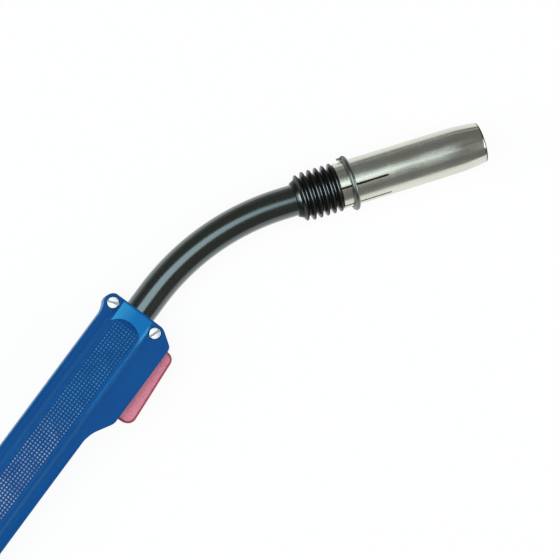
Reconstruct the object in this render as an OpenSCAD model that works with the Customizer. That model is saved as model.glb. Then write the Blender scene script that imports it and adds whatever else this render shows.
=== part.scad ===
// A hand-held welding torch, lying on its side. X runs forward along the handle, the trigger is on the
// -Y side, the neck bends toward -Y, and Z runs across the thickness with the screw heads on top.
// The origin is the middle of the cable inlet, at the rear end of the handle.

/* [Handle] */
// Length of the handle, from the cable inlet to its front face
handle_len = 179; // [168:1:210]
// Height of the grip, from its spine to its belly
grip_h = 35; // [34.5:0.5:42]
// How far the middle of the grip lies above the neck's axis
grip_shift = 0.7; // [0:0.1:1.5]
// How far the middle of the raised bands and of the two screws lies above the neck's axis
band_shift = 1.3; // [0.5:0.1:1.6]
// Thickness of the grip across its two raised bands
grip_t = 33; // [32:0.5:38]
// Thickness across the plain side plates beside the bands
plate_t = 26; // [25:0.5:28]
// Width of each raised band
band_w = 20; // [18:0.5:22]
// Length of the slope at the front end of each band
nose_len = 13; // [10:0.5:18]
// Wall of the two half shells
wall = 2.4; // [2:0.1:2.8]
// Rounding along the spine and the belly
edge_r = 6; // [5:0.5:9]
// Width of the sunk grip panel on each band
panel_w = 16; // [12:0.5:17]
// Depth of the sunk grip panel
panel_depth = 0.6; // [0.3:0.1:1]

/* [Handle screws] */
// Thread diameter of the two screws
screw_d = 4; // [3:0.5:4]
// Distance between the two screws
screw_spread = 28.5; // [28:0.5:30]
// Distance from the front face to the screws
screw_back = 5; // [4.8:0.1:6.5]
// Radius of the boss round the upper screw
boss_r = 5.2; // [4.8:0.1:6]

/* [Trigger housing] */
// Depth of the housing below the neck's axis
keel_drop = 25.3; // [25:0.1:28]
// Length of the housing's flat underside
keel_len = 50.4; // [50:0.2:58]
// Length of the slanted corner at the front of the housing
keel_nose = 6.6; // [5:0.2:7]
// Length of the slope from the housing back to the belly
keel_ramp = 15; // [12:0.5:20]

/* [Trigger] */
// Length of the trigger bar
trigger_len = 46.9; // [45:0.1:48]
// Width of the trigger bar
trigger_w = 13; // [10:0.5:14]
// Height of the bar's front end outside the housing
trigger_front = 4.8; // [4:0.1:7]
// Height of the bar's rear end outside the housing
trigger_rear = 8.3; // [6:0.1:10]
// Turn of the trigger when it is pressed
trigger_deg = 5; // [3:0.5:5]
// Diameter of the pin that the trigger turns on
pin_d = 3; // [2.5:0.1:3.5]
// Wire of the trigger's return spring
spring_wire = 0.7; // [0.5:0.05:0.8]

/* [Switch] */
// Length of the switch body
switch_l = 20; // [19:0.5:21]
// Height of the switch body
switch_h = 9.2; // [8:0.1:9.4]
// Thickness of the switch body
switch_w = 6.4; // [5:0.2:7]
// Diameter of the switch's plunger
plunger_d = 2.8; // [2:0.1:3.2]
// Diameter of the two trigger leads
lead_d = 1.8; // [1.4:0.1:2]

/* [Neck] */
// Outer diameter of the neck's jacket
neck_od = 18; // [17.5:0.1:18.4]
// Wall of the neck's jacket
jacket_wall = 1.4; // [1:0.1:1.6]
// Outer diameter of the copper tube inside the neck
conductor_od = 12; // [11:0.1:12.4]
// Bore of the copper tube inside the neck
conductor_id = 7; // [6.4:0.1:7.4]
// Radius of the neck's bend
bend_r = 143; // [90:1:180]
// Angle of the neck's bend
bend_deg = 36; // [22:1:50]
// Straight length between the handle and the bend
stub_in = 11.8; // [6:0.1:20]
// Straight length between the bend and the ribbed collar
stub_out = 7.8; // [7:0.1:20]
// Outer diameter of the wire liner
liner_d = 4.6; // [4:0.1:5]

/* [Ribbed collar] */
// Number of ribs
rib_count = 6; // [5:1:8]
// Distance from one rib to the next
rib_pitch = 4; // [3.8:0.05:5]
// Outer diameter of the ribs
rib_od = 28; // [27:0.2:31]
// Diameter between the ribs
rib_root_od = 22; // [21.6:0.1:24]

/* [Gas nozzle] */
// Length of the nozzle
nozzle_len = 86.3; // [76:0.1:95]
// Outer diameter of the nozzle
nozzle_od = 26; // [25.6:0.1:27]
// Outer diameter at the nozzle's mouth
mouth_od = 23.2; // [22:0.1:25]
// Bore at the nozzle's mouth
mouth_id = 18; // [16:0.1:19]
// Outer diameter of the seat that the nozzle slides onto
seat_od = 22; // [21.4:0.1:22.4]
// Pairs of slits in the nozzle's rear
slit_pairs = 2; // [1:1:3]
// Angle between the two slits of a pair
slit_spread = 55; // [40:1:60]
// Width of each slit
slit_w = 1.2; // [0.6:0.1:1.6]
// Length of each slit
slit_len = 28; // [18:0.5:30]
// Wire of the spring ring round the nozzle
ring_wire = 3; // [2:0.1:3.2]
// Distance from the nozzle's rear end to the ring
ring_back = 7.4; // [4:0.2:12]

/* [Contact tip] */
// Diameter of the contact tip
tip_od = 10; // [8:0.2:10.4]
// Bore of the contact tip
tip_bore = 1.4; // [0.8:0.1:2]
// Length of the contact tip outside its holder
tip_len = 40; // [34:1:44]
// How far the tip ends inside the nozzle's mouth
tip_recess = 6; // [5.8:0.2:8]

/* [Cable end] */
// Bore of the cable inlet
inlet_d = 23; // [18:0.5:23.4]
// Outer diameter of the rear collar
collar_d = 32; // [31.6:0.2:33]
// Length of the rear collar
collar_len = 16; // [12:0.5:18]
// Diameter of the stud that the cable is screwed to
stud_d = 12; // [11:0.1:13]
// Length of that stud
stud_len = 14; // [10:0.5:16]

/* [Fits] */
// Gap all round between pieces that slide or turn on each other
run_gap = 0.05; // [0.03:0.01:0.08]
// Gap between pieces that are only held together
rest_gap = 0.1; // [0.05:0.01:0.15]
// Gap between pieces that must stay clear of each other
free_gap = 0.3; // [0.2:0.05:0.4]

/* [Hidden] */
$fn = 64;
xf = handle_len;

// Handle outline
band_z = grip_t / 2;
plate_z = plate_t / 2;
spine_y = grip_shift + grip_h / 2;
belly_y = grip_shift - grip_h / 2;
band_slope = band_z - plate_z;
nose_drop = band_slope - 0.5;
spigot_r = collar_d / 2 - 2.6;
inlet_lip = 5;
spigot_lap = 2;
cave_rear = collar_len + 3;
cave_front = xf - 12;
cave_z = plate_z - wall;
panel_start = collar_len + 18;
panel_end = xf - 8.5;
panel_bulge = 3.4;
panel_end_r = (pow(panel_w / 2, 2) + pow(panel_bulge, 2)) / (2 * panel_bulge);

// Screws and nuts
screw_x = xf - screw_back;
screw_ys = [band_shift + screw_spread / 2, band_shift - screw_spread / 2];
ear_ramp = 7.8;
corner_tuck = 0.3;
head_r = screw_d * 0.875;
head_h = screw_d * 0.6;
head_seat = plate_z - head_h - free_gap;
nut_af = screw_d * 1.75;
nut_h = screw_d * 0.8;
nut_seat = plate_z - nut_h - free_gap;

// Trigger housing
keel_y = -keel_drop;
keel_floor = keel_y + wall;
keel_front = xf - keel_nose;
keel_rear = keel_front - keel_len;
keel_half = min(plate_z - wall - 1.2, 9.4);
chamfer_top = screw_ys[1] - 2.2;

// Trigger
trigger_front_x = xf - 8.1;
trigger_rear_x = trigger_front_x - trigger_len;
pivot = [xf - 12, keel_y + 4.4];
hub_r = pin_d / 2 + 1.7;
bar_top = keel_floor + rest_gap;
lip_top = bar_top + 1.6;
lip_half = trigger_w / 2 + 1.7;
lip_rear = trigger_rear_x + 1;
lip_front = pivot[0] - 5;
slot_half = trigger_w / 2 + free_gap;
pin_boss_in = trigger_w / 2 + 0.6;
pin_half = keel_half + 1.1;
stop_x = xf - 44;
stop_w = 3;
stop_y = lip_top + (pivot[0] - stop_x) * sin(trigger_deg) + 0.15;

// Spring between the trigger and the neck's rear bulkhead
spring_x = trigger_rear_x + 4;
spring_r = 2.4;
spring_turns = 6;
bulkhead_front = spring_x + 4;
bulkhead_rear = spring_x - 4;
bulkhead_y = -neck_od / 2 - 2.5;
spring_from = bar_top + rest_gap;
spring_to = bulkhead_y - rest_gap;

// Switch, its plunger and its leads
plunger_x = pivot[0] - 11.5;
switch_front = plunger_x + 3.5;
switch_rear = switch_front - switch_l;
switch_top = -neck_od / 2 - 0.7;
switch_low = switch_top - switch_h;
switch_mid = switch_top - switch_h / 2;
switch_pin_r = 1.1;
switch_pin_xs = [plunger_x - 13.5, plunger_x - 4];
plunger_low = lip_top + 0.2;
plunger_top = switch_low + 3.9;
plunger_stop = switch_low + 5.4;
tab_len = 5;
tab_z = 1.9;
tab_rear = switch_rear - tab_len;
lead_r = lead_d / 2;
lead_y = belly_y + wall + lead_r + 0.8;
lead_z = 5;
connector_len = 14;
connector_rear = cave_rear + 11;
connector_front = connector_rear + connector_len;
connector_r = lead_r + 0.8;
connector_y = belly_y + wall + connector_r + 0.3;

// Neck
neck_r = neck_od / 2;
jacket_ir = neck_r - jacket_wall;
conductor_r = conductor_od / 2;
core_r = conductor_id / 2;
liner_r = liner_d / 2;
arc_x = xf + stub_in;
neck_end = [arc_x + bend_r * sin(bend_deg), -bend_r * (1 - cos(bend_deg))];
neck_lap = 0.6;
neck_hair = 0.05;
jacket_rear = xf - 59;
insulation_rear = xf - 73;

// Cable block and the union in front of it
block_back = 125;
block_len = 20;
thread_len = 14;
socket_len = 4;
block_rear = xf - block_back;
stud_rear = block_rear - stud_len;
block_r = 11;
thread_rear = block_rear + block_len;
thread_r = conductor_r + 2.5;
thread_front = thread_rear + thread_len;
socket_rear = thread_rear - socket_len;
conductor_rear = socket_rear + free_gap;
o_ring_step = 5;
o_ring_xs = [thread_rear + 2, thread_rear + 2 + o_ring_step];
o_ring_r = 0.5;
flange_rear = thread_front + rest_gap;
flange_front = flange_rear + 5.8;
flange_r = thread_r - 0.1;
nut_len = 24;
nut_rear = thread_rear + 2;
nut_front = nut_rear + nut_len;
union_af = 22;
clamp_w = 8;
nut_clamp = nut_rear + 6;
block_clamp = block_rear + 6;
block_clamp_w = 6;
clamp_drop = 8;

// Front end, measured from the rear face of the ribbed collar
first_rib = 4.2;
rib_tip_r = 0.6;
rib_foot = 1.7;
rib_lead = 2.4;
rib_end = 1;
ribs_len = first_rib + (rib_count - 1) * rib_pitch + rib_end;
jacket_front = 9.8;
conductor_front = 16;
holder_rear = 4;
holder_socket_r = conductor_r - 1.4;
holder_r = conductor_r - rest_gap;
nozzle_rear = ribs_len + free_gap;
nozzle_front = nozzle_rear + nozzle_len;
tip_front = nozzle_front - tip_recess;
tip_rear = tip_front - tip_len;
stub_len = 11;
stub_r = tip_od * 0.32;
holder_wire_r = 1.6;
holder_step = tip_rear - stub_len - 6;
liner_front = holder_step - rest_gap;
diffuser_len = 7;
diffuser_front = tip_rear - 2 * rest_gap;
diffuser_rear = diffuser_front - diffuser_len;
spigot_out = 2;
spigot_front = diffuser_rear - 7 * free_gap;
seat_front = spigot_front - spigot_out;
seat_len = seat_front - ribs_len;
seat_r = seat_od / 2;
spigot_or = seat_r - 2;
spigot_ir = spigot_or - 2;
diffuser_r = mouth_id / 2 - 0.2;
gas_holes = 8;
nozzle_r = nozzle_od / 2;
mouth_r = mouth_od / 2;
bore_r = mouth_id / 2;
bore_step = 5;
seat_bore_len = seat_len + bore_step;
ring_mid_r = nozzle_r - 0.15 + ring_wire / 2 + 0.03;
slit_turn = 10;
nozzle_taper = 18;
mouth_land = 14;

// Helpers
function unit(v) = v / norm(v);
function way(p, q) = unit(q - p);
function half_angle(p, a, b) = acos(way(p, a) * way(p, b)) / 2;
function touch(p, a, b, r) = p + way(p, a) * r / tan(half_angle(p, a, b));
function round_mid(p, a, b, r) = p + unit(way(p, a) + way(p, b)) * r / sin(half_angle(p, a, b));
function turns_left(p, a, b) = cross(p - a, b - p) > 0;

// A polygon, listed anticlockwise, with corner i rounded by radii[i]
module soft_polygon(points, radii) {
    n = len(points);
    outline = [
        for (i = [0 : n - 1])
            let (p = points[i], a = points[(i + n - 1) % n], b = points[(i + 1) % n], r = radii[i])
                each r > 0 ? [touch(p, a, b, r), touch(p, b, a, r)] : [p]
    ];
    difference() {
        union() {
            polygon(outline);
            soft_corners(points, radii, true);
        }
        soft_corners(points, radii, false);
    }
}

// The pieces of circle that round the outward corners, or the inward ones
module soft_corners(points, radii, outward) {
    n = len(points);
    for (i = [0 : n - 1]) {
        p = points[i];
        a = points[(i + n - 1) % n];
        b = points[(i + 1) % n];
        r = radii[i];
        if (r > 0 && turns_left(p, a, b) == outward)
            intersection() {
                translate(round_mid(p, a, b, r)) circle(r = r);
                polygon([touch(p, a, b, r), p, touch(p, b, a, r)]);
            }
    }
}

module soft_rect(w, h, r) {
    a = w / 2;
    b = h / 2;
    soft_polygon([[-a, -b], [a, -b], [a, b], [-a, b]], [r, r, r, r]);
}

// Draws a shape given in Y and Z and stretches it from x0 to x1
module along_x(x0, x1) {
    translate([x0, 0, 0]) rotate([90, 0, 90]) linear_extrude(height = x1 - x0) children();
}

module rod_x(x0, x1, r) {
    translate([x0, 0, 0]) rotate([0, 90, 0]) cylinder(r = r, h = x1 - x0);
}

module ring_2d(r_out, r_in) {
    difference() {
        circle(r = r_out);
        circle(r = r_in);
    }
}

module tube_x(x0, x1, r_out, r_in) {
    along_x(x0, x1) ring_2d(r_out, r_in);
}

// Draws a shape given in X and Y, from z0 to z1
module upright(z0, z1) {
    translate([0, 0, z0]) linear_extrude(height = z1 - z0) children();
}

// Moves a shape built on the Z axis to the nozzle's axis, v in front of the ribbed collar's rear face
module on_nozzle(v = 0) {
    reach = stub_out + v;
    translate([neck_end[0] + reach * cos(bend_deg), neck_end[1] - reach * sin(bend_deg), 0])
        rotate([0, 0, -bend_deg]) rotate([0, 90, 0]) children();
}

// A tube along the neck, from x0 in the handle to v1 on the nozzle's axis. Its straight ends reach into the
// bend and are a hair thinner than it, so that the three make one clean solid.
module neck_tube(x0, v1, r_out, r_in) {
    tube_x(x0, arc_x + neck_lap, r_out - neck_hair, r_in + neck_hair);
    translate([arc_x, -bend_r, 0]) rotate([0, 0, 90 - bend_deg])
        rotate_extrude(angle = bend_deg) translate([bend_r, 0]) ring_2d(r_out, r_in);
    on_nozzle(-stub_out - neck_lap) linear_extrude(height = stub_out + neck_lap + v1)
        ring_2d(r_out - neck_hair, r_in + neck_hair);
}

// A tube of even thickness through a list of points
module wire_through(points, r, sides) {
    n = len(points);
    ways = [for (i = [0 : n - 1]) unit(points[min(i + 1, n - 1)] - points[max(i - 1, 0)])];
    sidewise = [for (w = ways) unit(cross(abs(w[1]) < 0.8 ? [0, 1, 0] : [0, 0, 1], w))];
    rings = [
        for (i = [0 : n - 1])
            for (k = [0 : sides - 1])
                points[i] + r * (cos(360 * k / sides) * sidewise[i]
                    + sin(360 * k / sides) * cross(ways[i], sidewise[i]))
    ];
    skin = [
        for (i = [0 : n - 2])
            for (k = [0 : sides - 1])
                let (a = i * sides + k, b = i * sides + (k + 1) % sides, c = a + sides, d = b + sides)
                    each [[a, c, d], [a, d, b]]
    ];
    last = (n - 1) * sides;
    ends = [[for (k = [0 : sides - 1]) k], [for (k = [0 : sides - 1]) last + sides - 1 - k]];
    polyhedron(points = rings, faces = concat(skin, ends), convexity = 6);
}

// Handle
module band_profile() {
    half = band_w / 2;
    foot = half + band_slope * 0.6;
    translate([band_shift, 0])
        polygon([[-foot, 0], [foot, 0], [foot, plate_z], [half, band_z], [-half, band_z], [-foot, plate_z]]);
}

module one_band() {
    difference() {
        along_x(collar_len + rest_gap, xf) band_profile();
        translate([0, 0, band_z]) rotate([90, 0, 0]) linear_extrude(height = 2 * grip_h, center = true)
            polygon([[xf - nose_len, 0], [xf + 1, -nose_drop * (nose_len + 1) / nose_len], [xf + 1, 1],
                [xf - nose_len, 1]]);
    }
}

module keel_outline() {
    soft_polygon([
        [xf, chamfer_top], [xf, -5], [keel_rear - keel_ramp - 14, -5],
        [keel_rear - keel_ramp, belly_y], [keel_rear, keel_y], [keel_front, keel_y]
    ], [0, 0, 0, 0, 6, 3]);
}

// The points above run anticlockwise as seen from +Z
module keel() {
    intersection() {
        upright(-plate_z, plate_z) keel_outline();
        along_x(0, xf) translate([keel_y + 20, 0]) soft_rect(40, plate_t, 4);
    }
}

module ear() {
    y = screw_ys[0];
    upright(-plate_z, plate_z) {
        translate([screw_x, y]) circle(r = boss_r);
        polygon([
            [screw_x - ear_ramp, spine_y], [screw_x - ear_ramp, y - 4],
            [screw_x, y - 4], [screw_x, y + boss_r]
        ]);
    }
}

// The grip without its front corners, which the ear and the trigger housing round off. The cuts lie a little
// inside those two, so that they cover them.
module barrel() {
    difference() {
        along_x(collar_len + rest_gap, xf) translate([grip_shift, 0]) soft_rect(grip_h, plate_t, edge_r);
        upright(-grip_t, grip_t) {
            translate([screw_x, screw_ys[0]]) difference() {
                square(4 * boss_r);
                circle(r = boss_r - corner_tuck);
            }
            translate([-corner_tuck, 0]) polygon([
                [xf, chamfer_top], [keel_front, keel_y],
                [xf + keel_nose, keel_y], [xf + keel_nose, chamfer_top]
            ]);
        }
    }
}

module handle_solid() {
    intersection() {
        union() {
            barrel();
            one_band();
            mirror([0, 0, 1]) one_band();
            keel();
            ear();
        }
        union() {
            translate([collar_len, 0, 0]) rotate([0, 90, 0]) cylinder(r1 = collar_d / 2, r2 = 30, h = 26);
            translate([collar_len + 26, -60, -40]) cube([xf - collar_len - 26, 100, 80]);
        }
    }
    rod_x(inlet_lip + rest_gap, collar_len + spigot_lap, spigot_r);
}

// The space inside the handle, with the bulkheads left standing
module handle_space() {
    difference() {
        union() {
            along_x(cave_rear, cave_front) translate([grip_shift, 0])
                soft_rect(grip_h - 2 * wall, plate_t - 2 * wall, edge_r - wall);
            along_x(cave_rear, cave_front) translate([band_shift, 0])
                square([band_w - 2 * wall, grip_t - 2 * wall], center = true);
        }
        for (s = [
            [bulkhead_rear, bulkhead_front - bulkhead_rear, bulkhead_y],
            [nut_clamp, clamp_w, -clamp_drop], [block_clamp, block_clamp_w, -clamp_drop]
        ])
            translate([s[0], s[2], -grip_h]) cube([s[1], 2 * grip_h, 2 * grip_h]);
    }
    rod_x(0, cave_rear + 1, spigot_r - 1.6);
    rod_x(bulkhead_rear - 1, xf + 1, neck_r + run_gap);
    translate([nut_clamp - 1, 0, 0]) rotate([0, 90, 0])
        cylinder(r = (union_af / 2 + rest_gap) / cos(30), h = clamp_w + 2, $fn = 6);
    rod_x(block_clamp - 1, block_clamp + block_clamp_w + 1, block_r + rest_gap);
}

// The space behind the trigger, and the slot that it comes out of
module trigger_space() {
    upright(-keel_half, keel_half)
        polygon([
            [trigger_front_x + 0.6, keel_floor], [trigger_front_x + 0.6, pivot[1] + hub_r + free_gap],
            [cave_front - 0.5, pivot[1] + hub_r + free_gap], [cave_front - 0.5, bulkhead_y],
            [keel_rear - keel_ramp, bulkhead_y], [keel_rear - keel_ramp, belly_y + wall],
            [keel_rear - 1, keel_floor]
        ]);
    upright(-slot_half, slot_half)
        polygon([
            [trigger_front_x + 0.5, keel_y - 1], [trigger_front_x + 0.5, keel_floor + 0.5],
            [trigger_rear_x - 1.2, keel_floor + 0.5], [trigger_rear_x - 1.2, keel_y - 1]
        ]);
}

// Bosses and stops inside the trigger housing
module trigger_fixings() {
    for (side = [-1, 1]) {
        z0 = side > 0 ? pin_boss_in : -keel_half - 0.5;
        translate([pivot[0], pivot[1], z0]) cylinder(r = hub_r, h = keel_half + 0.5 - pin_boss_in);
        p0 = side > 0 ? switch_w / 2 + rest_gap : -keel_half - 2;
        for (x = switch_pin_xs)
            translate([x, switch_mid, p0]) cylinder(r = 2.3, h = keel_half + 2 - switch_w / 2 - rest_gap);
        s0 = side > 0 ? trigger_w / 2 + 0.5 : -keel_half - 2;
        translate([stop_x, stop_y, s0]) cube([stop_w, bulkhead_y - stop_y, keel_half + 1.5 - trigger_w / 2]);
    }
}

module screw_holes() {
    for (y = screw_ys) translate([screw_x, y, 0]) {
        translate([0, 0, -40]) cylinder(r = screw_d / 2 + rest_gap, h = 80);
        translate([0, 0, head_seat]) cylinder(r = head_r + free_gap, h = 20);
        translate([0, 0, -nut_seat - 20]) cylinder(r = (nut_af / 2 + rest_gap) / cos(30), h = 20, $fn = 6);
    }
}

module grip_panel(z0) {
    upright(z0, z0 + 4) translate([0, band_shift]) intersection() {
        translate([panel_start, -panel_w / 2]) square([panel_end - panel_start, panel_w]);
        translate([panel_end - panel_end_r, 0]) union() {
            circle(r = panel_end_r);
            translate([-panel_end, -panel_w]) square([panel_end, 2 * panel_w]);
        }
    }
}

module handle_shell(top) {
    difference() {
        union() {
            difference() {
                handle_solid();
                handle_space();
                trigger_space();
            }
            trigger_fixings();
        }
        screw_holes();
        translate([pivot[0], pivot[1], -pin_half - rest_gap])
            cylinder(r = pin_d / 2 + run_gap, h = 2 * (pin_half + rest_gap));
        for (x = switch_pin_xs) translate([x, switch_mid, -keel_half])
            cylinder(r = switch_pin_r + run_gap, h = 2 * keel_half);
        grip_panel(band_z - panel_depth);
        grip_panel(-band_z + panel_depth - 4);
        translate([-10, -xf, top ? -xf : 0]) cube([xf + 20, 2 * xf, xf]);
    }
}

module handle_shell_near() {
    color([0.1, 0.31, 0.56]) handle_shell(true);
}

module handle_shell_far() {
    color([0.1, 0.31, 0.56]) handle_shell(false);
}

module rear_collar() {
    color([0.12, 0.13, 0.14]) difference() {
        rod_x(0, collar_len, collar_d / 2);
        rod_x(-1, inlet_lip + 1, inlet_d / 2);
        rod_x(inlet_lip, collar_len + 1, spigot_r + run_gap);
    }
}

module handle_screws() {
    color([0.88, 0.9, 0.9]) for (y = screw_ys) translate([screw_x, y, 0]) {
        translate([0, 0, -plate_z + 0.6]) cylinder(r = screw_d / 2, h = head_seat + plate_z - 0.5);
        difference() {
            translate([0, 0, head_seat]) cylinder(r = head_r, h = head_h);
            translate([-head_r - 1, -screw_d * 0.15, head_seat + head_h * 0.55])
                cube([2 * head_r + 2, screw_d * 0.3, head_h]);
        }
    }
}

module handle_nuts() {
    color([0.75, 0.76, 0.77]) for (y = screw_ys) translate([screw_x, y, -nut_seat - nut_h]) difference() {
        cylinder(r = nut_af / 2 / cos(30), h = nut_h, $fn = 6);
        translate([0, 0, -1]) cylinder(r = screw_d / 2 + 0.02, h = nut_h + 2);
    }
}

// Trigger and switch
module trigger() {
    color([0.78, 0.35, 0.45]) difference() {
        union() {
            upright(-trigger_w / 2, trigger_w / 2) soft_polygon([
                [trigger_rear_x, bar_top], [trigger_rear_x + 0.7, keel_y - trigger_rear],
                [trigger_front_x - 1.3, keel_y - trigger_front], [trigger_front_x, bar_top]
            ], [0, 5, 4, 0]);
            for (side = [0, 1]) mirror([0, 0, side])
                translate([lip_rear, bar_top, trigger_w / 2 - 1.5])
                    cube([lip_front - lip_rear, lip_top - bar_top, lip_half - trigger_w / 2 + 1.5]);
            translate([plunger_x - 3, bar_top - 1, -3]) cube([6, lip_top - bar_top + 1, 6]);
            translate([spring_x, bar_top - 1, 0]) rotate([-90, 0, 0])
                cylinder(r = spring_r - spring_wire / 2 - 0.4, h = 2.6);
            translate([pivot[0], pivot[1], -trigger_w / 2]) cylinder(r = hub_r, h = trigger_w);
        }
        translate([pivot[0], pivot[1], -20]) cylinder(r = pin_d / 2 + run_gap, h = 40);
    }
}

module trigger_pin() {
    color([0.7, 0.71, 0.72]) translate([pivot[0], pivot[1], -pin_half])
        cylinder(r = pin_d / 2, h = 2 * pin_half);
}

// The spring's middle line, with its two end turns closed up
spring_steps = 18;
spring_span = spring_to - spring_from - spring_wire;
spring_pitch = spring_span / spring_turns;
spring_line = [
    for (i = [0 : spring_steps * spring_turns])
        let (a = 360 * i / spring_steps)
            [spring_x + spring_r * cos(a), spring_from + spring_wire / 2 + spring_pitch * i / spring_steps,
                spring_r * sin(a)]
];
spring_clear = min([
    for (i = [0 : spring_steps * (spring_turns - 1)])
        for (k = [spring_steps - 4 : spring_steps + 4])
            i + k < len(spring_line) ? norm(spring_line[i] - spring_line[i + k]) - spring_wire : 99
]);
echo(least_gap_between_spring_turns = spring_clear);

module trigger_spring() {
    color([0.72, 0.73, 0.74]) wire_through(spring_line, spring_wire / 2, 8);
}

module switch_body() {
    color([0.1, 0.1, 0.11]) difference() {
        translate([switch_rear, switch_low, -switch_w / 2]) cube([switch_l, switch_h, switch_w]);
        translate([plunger_x, switch_low - 1, 0]) rotate([-90, 0, 0])
            cylinder(r = plunger_d / 2 + rest_gap, h = plunger_stop - switch_low + 1);
        for (x = switch_pin_xs) translate([x, switch_mid, -10]) cylinder(r = switch_pin_r + run_gap, h = 20);
    }
}

module switch_plunger() {
    color([0.85, 0.84, 0.8]) translate([plunger_x, plunger_low, 0]) rotate([-90, 0, 0]) {
        cylinder(r1 = plunger_d / 2 - 0.5, r2 = plunger_d / 2, h = 0.5);
        translate([0, 0, 0.5]) cylinder(r = plunger_d / 2, h = plunger_top - plunger_low - 0.5);
    }
}

module switch_terminals() {
    color([0.8, 0.78, 0.7]) for (side = [-1, 1])
        translate([tab_rear, switch_mid - 1.4, side * tab_z - 0.25]) cube([tab_len, 2.8, 0.5]);
}

module switch_pins() {
    color([0.7, 0.71, 0.72]) for (x = switch_pin_xs)
        translate([x, switch_mid, -keel_half + 0.3]) cylinder(r = switch_pin_r, h = 2 * keel_half - 0.6);
}

// The two leads pass the spring on either side and run back along the belly
module trigger_leads() {
    color([0.55, 0.1, 0.1]) for (side = [-1, 1]) wire_through([
        [tab_rear, switch_mid, side * tab_z], [tab_rear - 0.8, switch_mid, side * tab_z],
        [tab_rear - 2, switch_mid, side * 3.2], [tab_rear - 3.8, switch_mid, side * 4.2],
        [tab_rear - 7, switch_mid, side * 4.8], [tab_rear - 11, (switch_mid + lead_y) / 2, side * lead_z],
        [tab_rear - 16, lead_y, side * lead_z], [connector_front + 6, lead_y, side * lead_z],
        [connector_front + 3, (lead_y + connector_y) / 2, side * lead_z],
        [connector_front + 0.8, connector_y, side * lead_z], [connector_front, connector_y, side * lead_z]
    ], lead_r, 10);
}

module lead_connectors() {
    color([0.75, 0.2, 0.2]) for (side = [-1, 1])
        translate([0, connector_y, side * lead_z]) rod_x(connector_rear, connector_front, connector_r);
}

// Cable end
module cable_block() {
    color([0.72, 0.58, 0.3]) difference() {
        union() {
            rod_x(stud_rear, block_rear + 1, stud_d / 2);
            rod_x(block_rear, thread_rear, block_r);
            rod_x(thread_rear - 1, thread_front, thread_r);
        }
        rod_x(stud_rear - 1, thread_front + 1, core_r);
        rod_x(socket_rear, thread_front + 1, conductor_r + run_gap);
    }
}

module union_nut() {
    color([0.74, 0.6, 0.32]) difference() {
        translate([nut_rear, 0, 0]) rotate([0, 90, 0])
            cylinder(r = union_af / 2 / cos(30), h = nut_front - nut_rear, $fn = 6);
        rod_x(nut_rear - 1, flange_front + rest_gap, thread_r + run_gap);
        rod_x(nut_rear, nut_front + 1, conductor_r + free_gap);
    }
}

module neck_flange() {
    color([0.72, 0.58, 0.3]) difference() {
        rod_x(flange_rear, flange_front, flange_r);
        rod_x(flange_rear - 1, flange_front + 1, conductor_r + 0.02);
    }
}

module neck_o_rings() {
    color([0.08, 0.08, 0.08]) for (x = o_ring_xs) translate([x, 0, 0]) rotate([0, 90, 0])
        rotate_extrude() translate([conductor_r - o_ring_r, 0]) circle(r = o_ring_r);
}

// Neck
module neck_conductor() {
    color([0.72, 0.42, 0.26]) difference() {
        neck_tube(conductor_rear, conductor_front, conductor_r, core_r);
        on_nozzle(holder_rear - rest_gap)
            cylinder(r = holder_socket_r + run_gap, h = conductor_front - holder_rear + 1);
        for (x = o_ring_xs) difference() {
            rod_x(x - o_ring_r - 0.15, x + o_ring_r + 0.15, conductor_r + 1);
            rod_x(x - 2, x + 2, conductor_r - 2 * o_ring_r - 0.05);
        }
    }
}

module neck_insulation() {
    color([0.85, 0.83, 0.76])
        neck_tube(insulation_rear, jacket_front - 0.3, jacket_ir - run_gap, conductor_r + run_gap);
}

module neck_jacket() {
    color([0.07, 0.07, 0.08]) neck_tube(jacket_rear, jacket_front - 0.2, neck_r, jacket_ir);
}

module wire_liner() {
    color([0.6, 0.61, 0.62]) neck_tube(stud_rear, liner_front, liner_r, liner_r - 1);
}

// Front end
module one_rib(front_foot) {
    foot = rib_root_od / 2 - 0.5;
    crest = rib_od / 2 - rib_tip_r;
    polygon([[foot, -rib_foot], [crest, -rib_tip_r], [crest, rib_tip_r], [foot, front_foot]]);
    translate([crest, 0]) circle(r = rib_tip_r);
}

module ribbed_collar() {
    color([0.12, 0.12, 0.12]) on_nozzle() difference() {
        union() {
            cylinder(r1 = neck_r + 0.8, r2 = rib_root_od / 2, h = rib_lead);
            translate([0, 0, rib_lead - neck_hair])
                cylinder(r = rib_root_od / 2 - neck_hair, h = ribs_len - rib_lead + neck_hair);
            cylinder(r = spigot_or, h = spigot_front);
            for (i = [0 : rib_count - 1]) translate([0, 0, first_rib + i * rib_pitch])
                rotate_extrude() one_rib(i < rib_count - 1 ? rib_foot : rib_end - neck_hair);
        }
        translate([0, 0, -1]) cylinder(r = neck_r + run_gap, h = jacket_front + 1);
        translate([0, 0, jacket_front - 1]) cylinder(r = spigot_ir, h = spigot_front);
    }
}

module nozzle_seat() {
    color([0.55, 0.4, 0.22]) on_nozzle(ribs_len + run_gap) difference() {
        cylinder(r = seat_r, h = seat_len - run_gap);
        translate([0, 0, -1]) cylinder(r = spigot_or + run_gap, h = seat_len + 2);
    }
}

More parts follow.
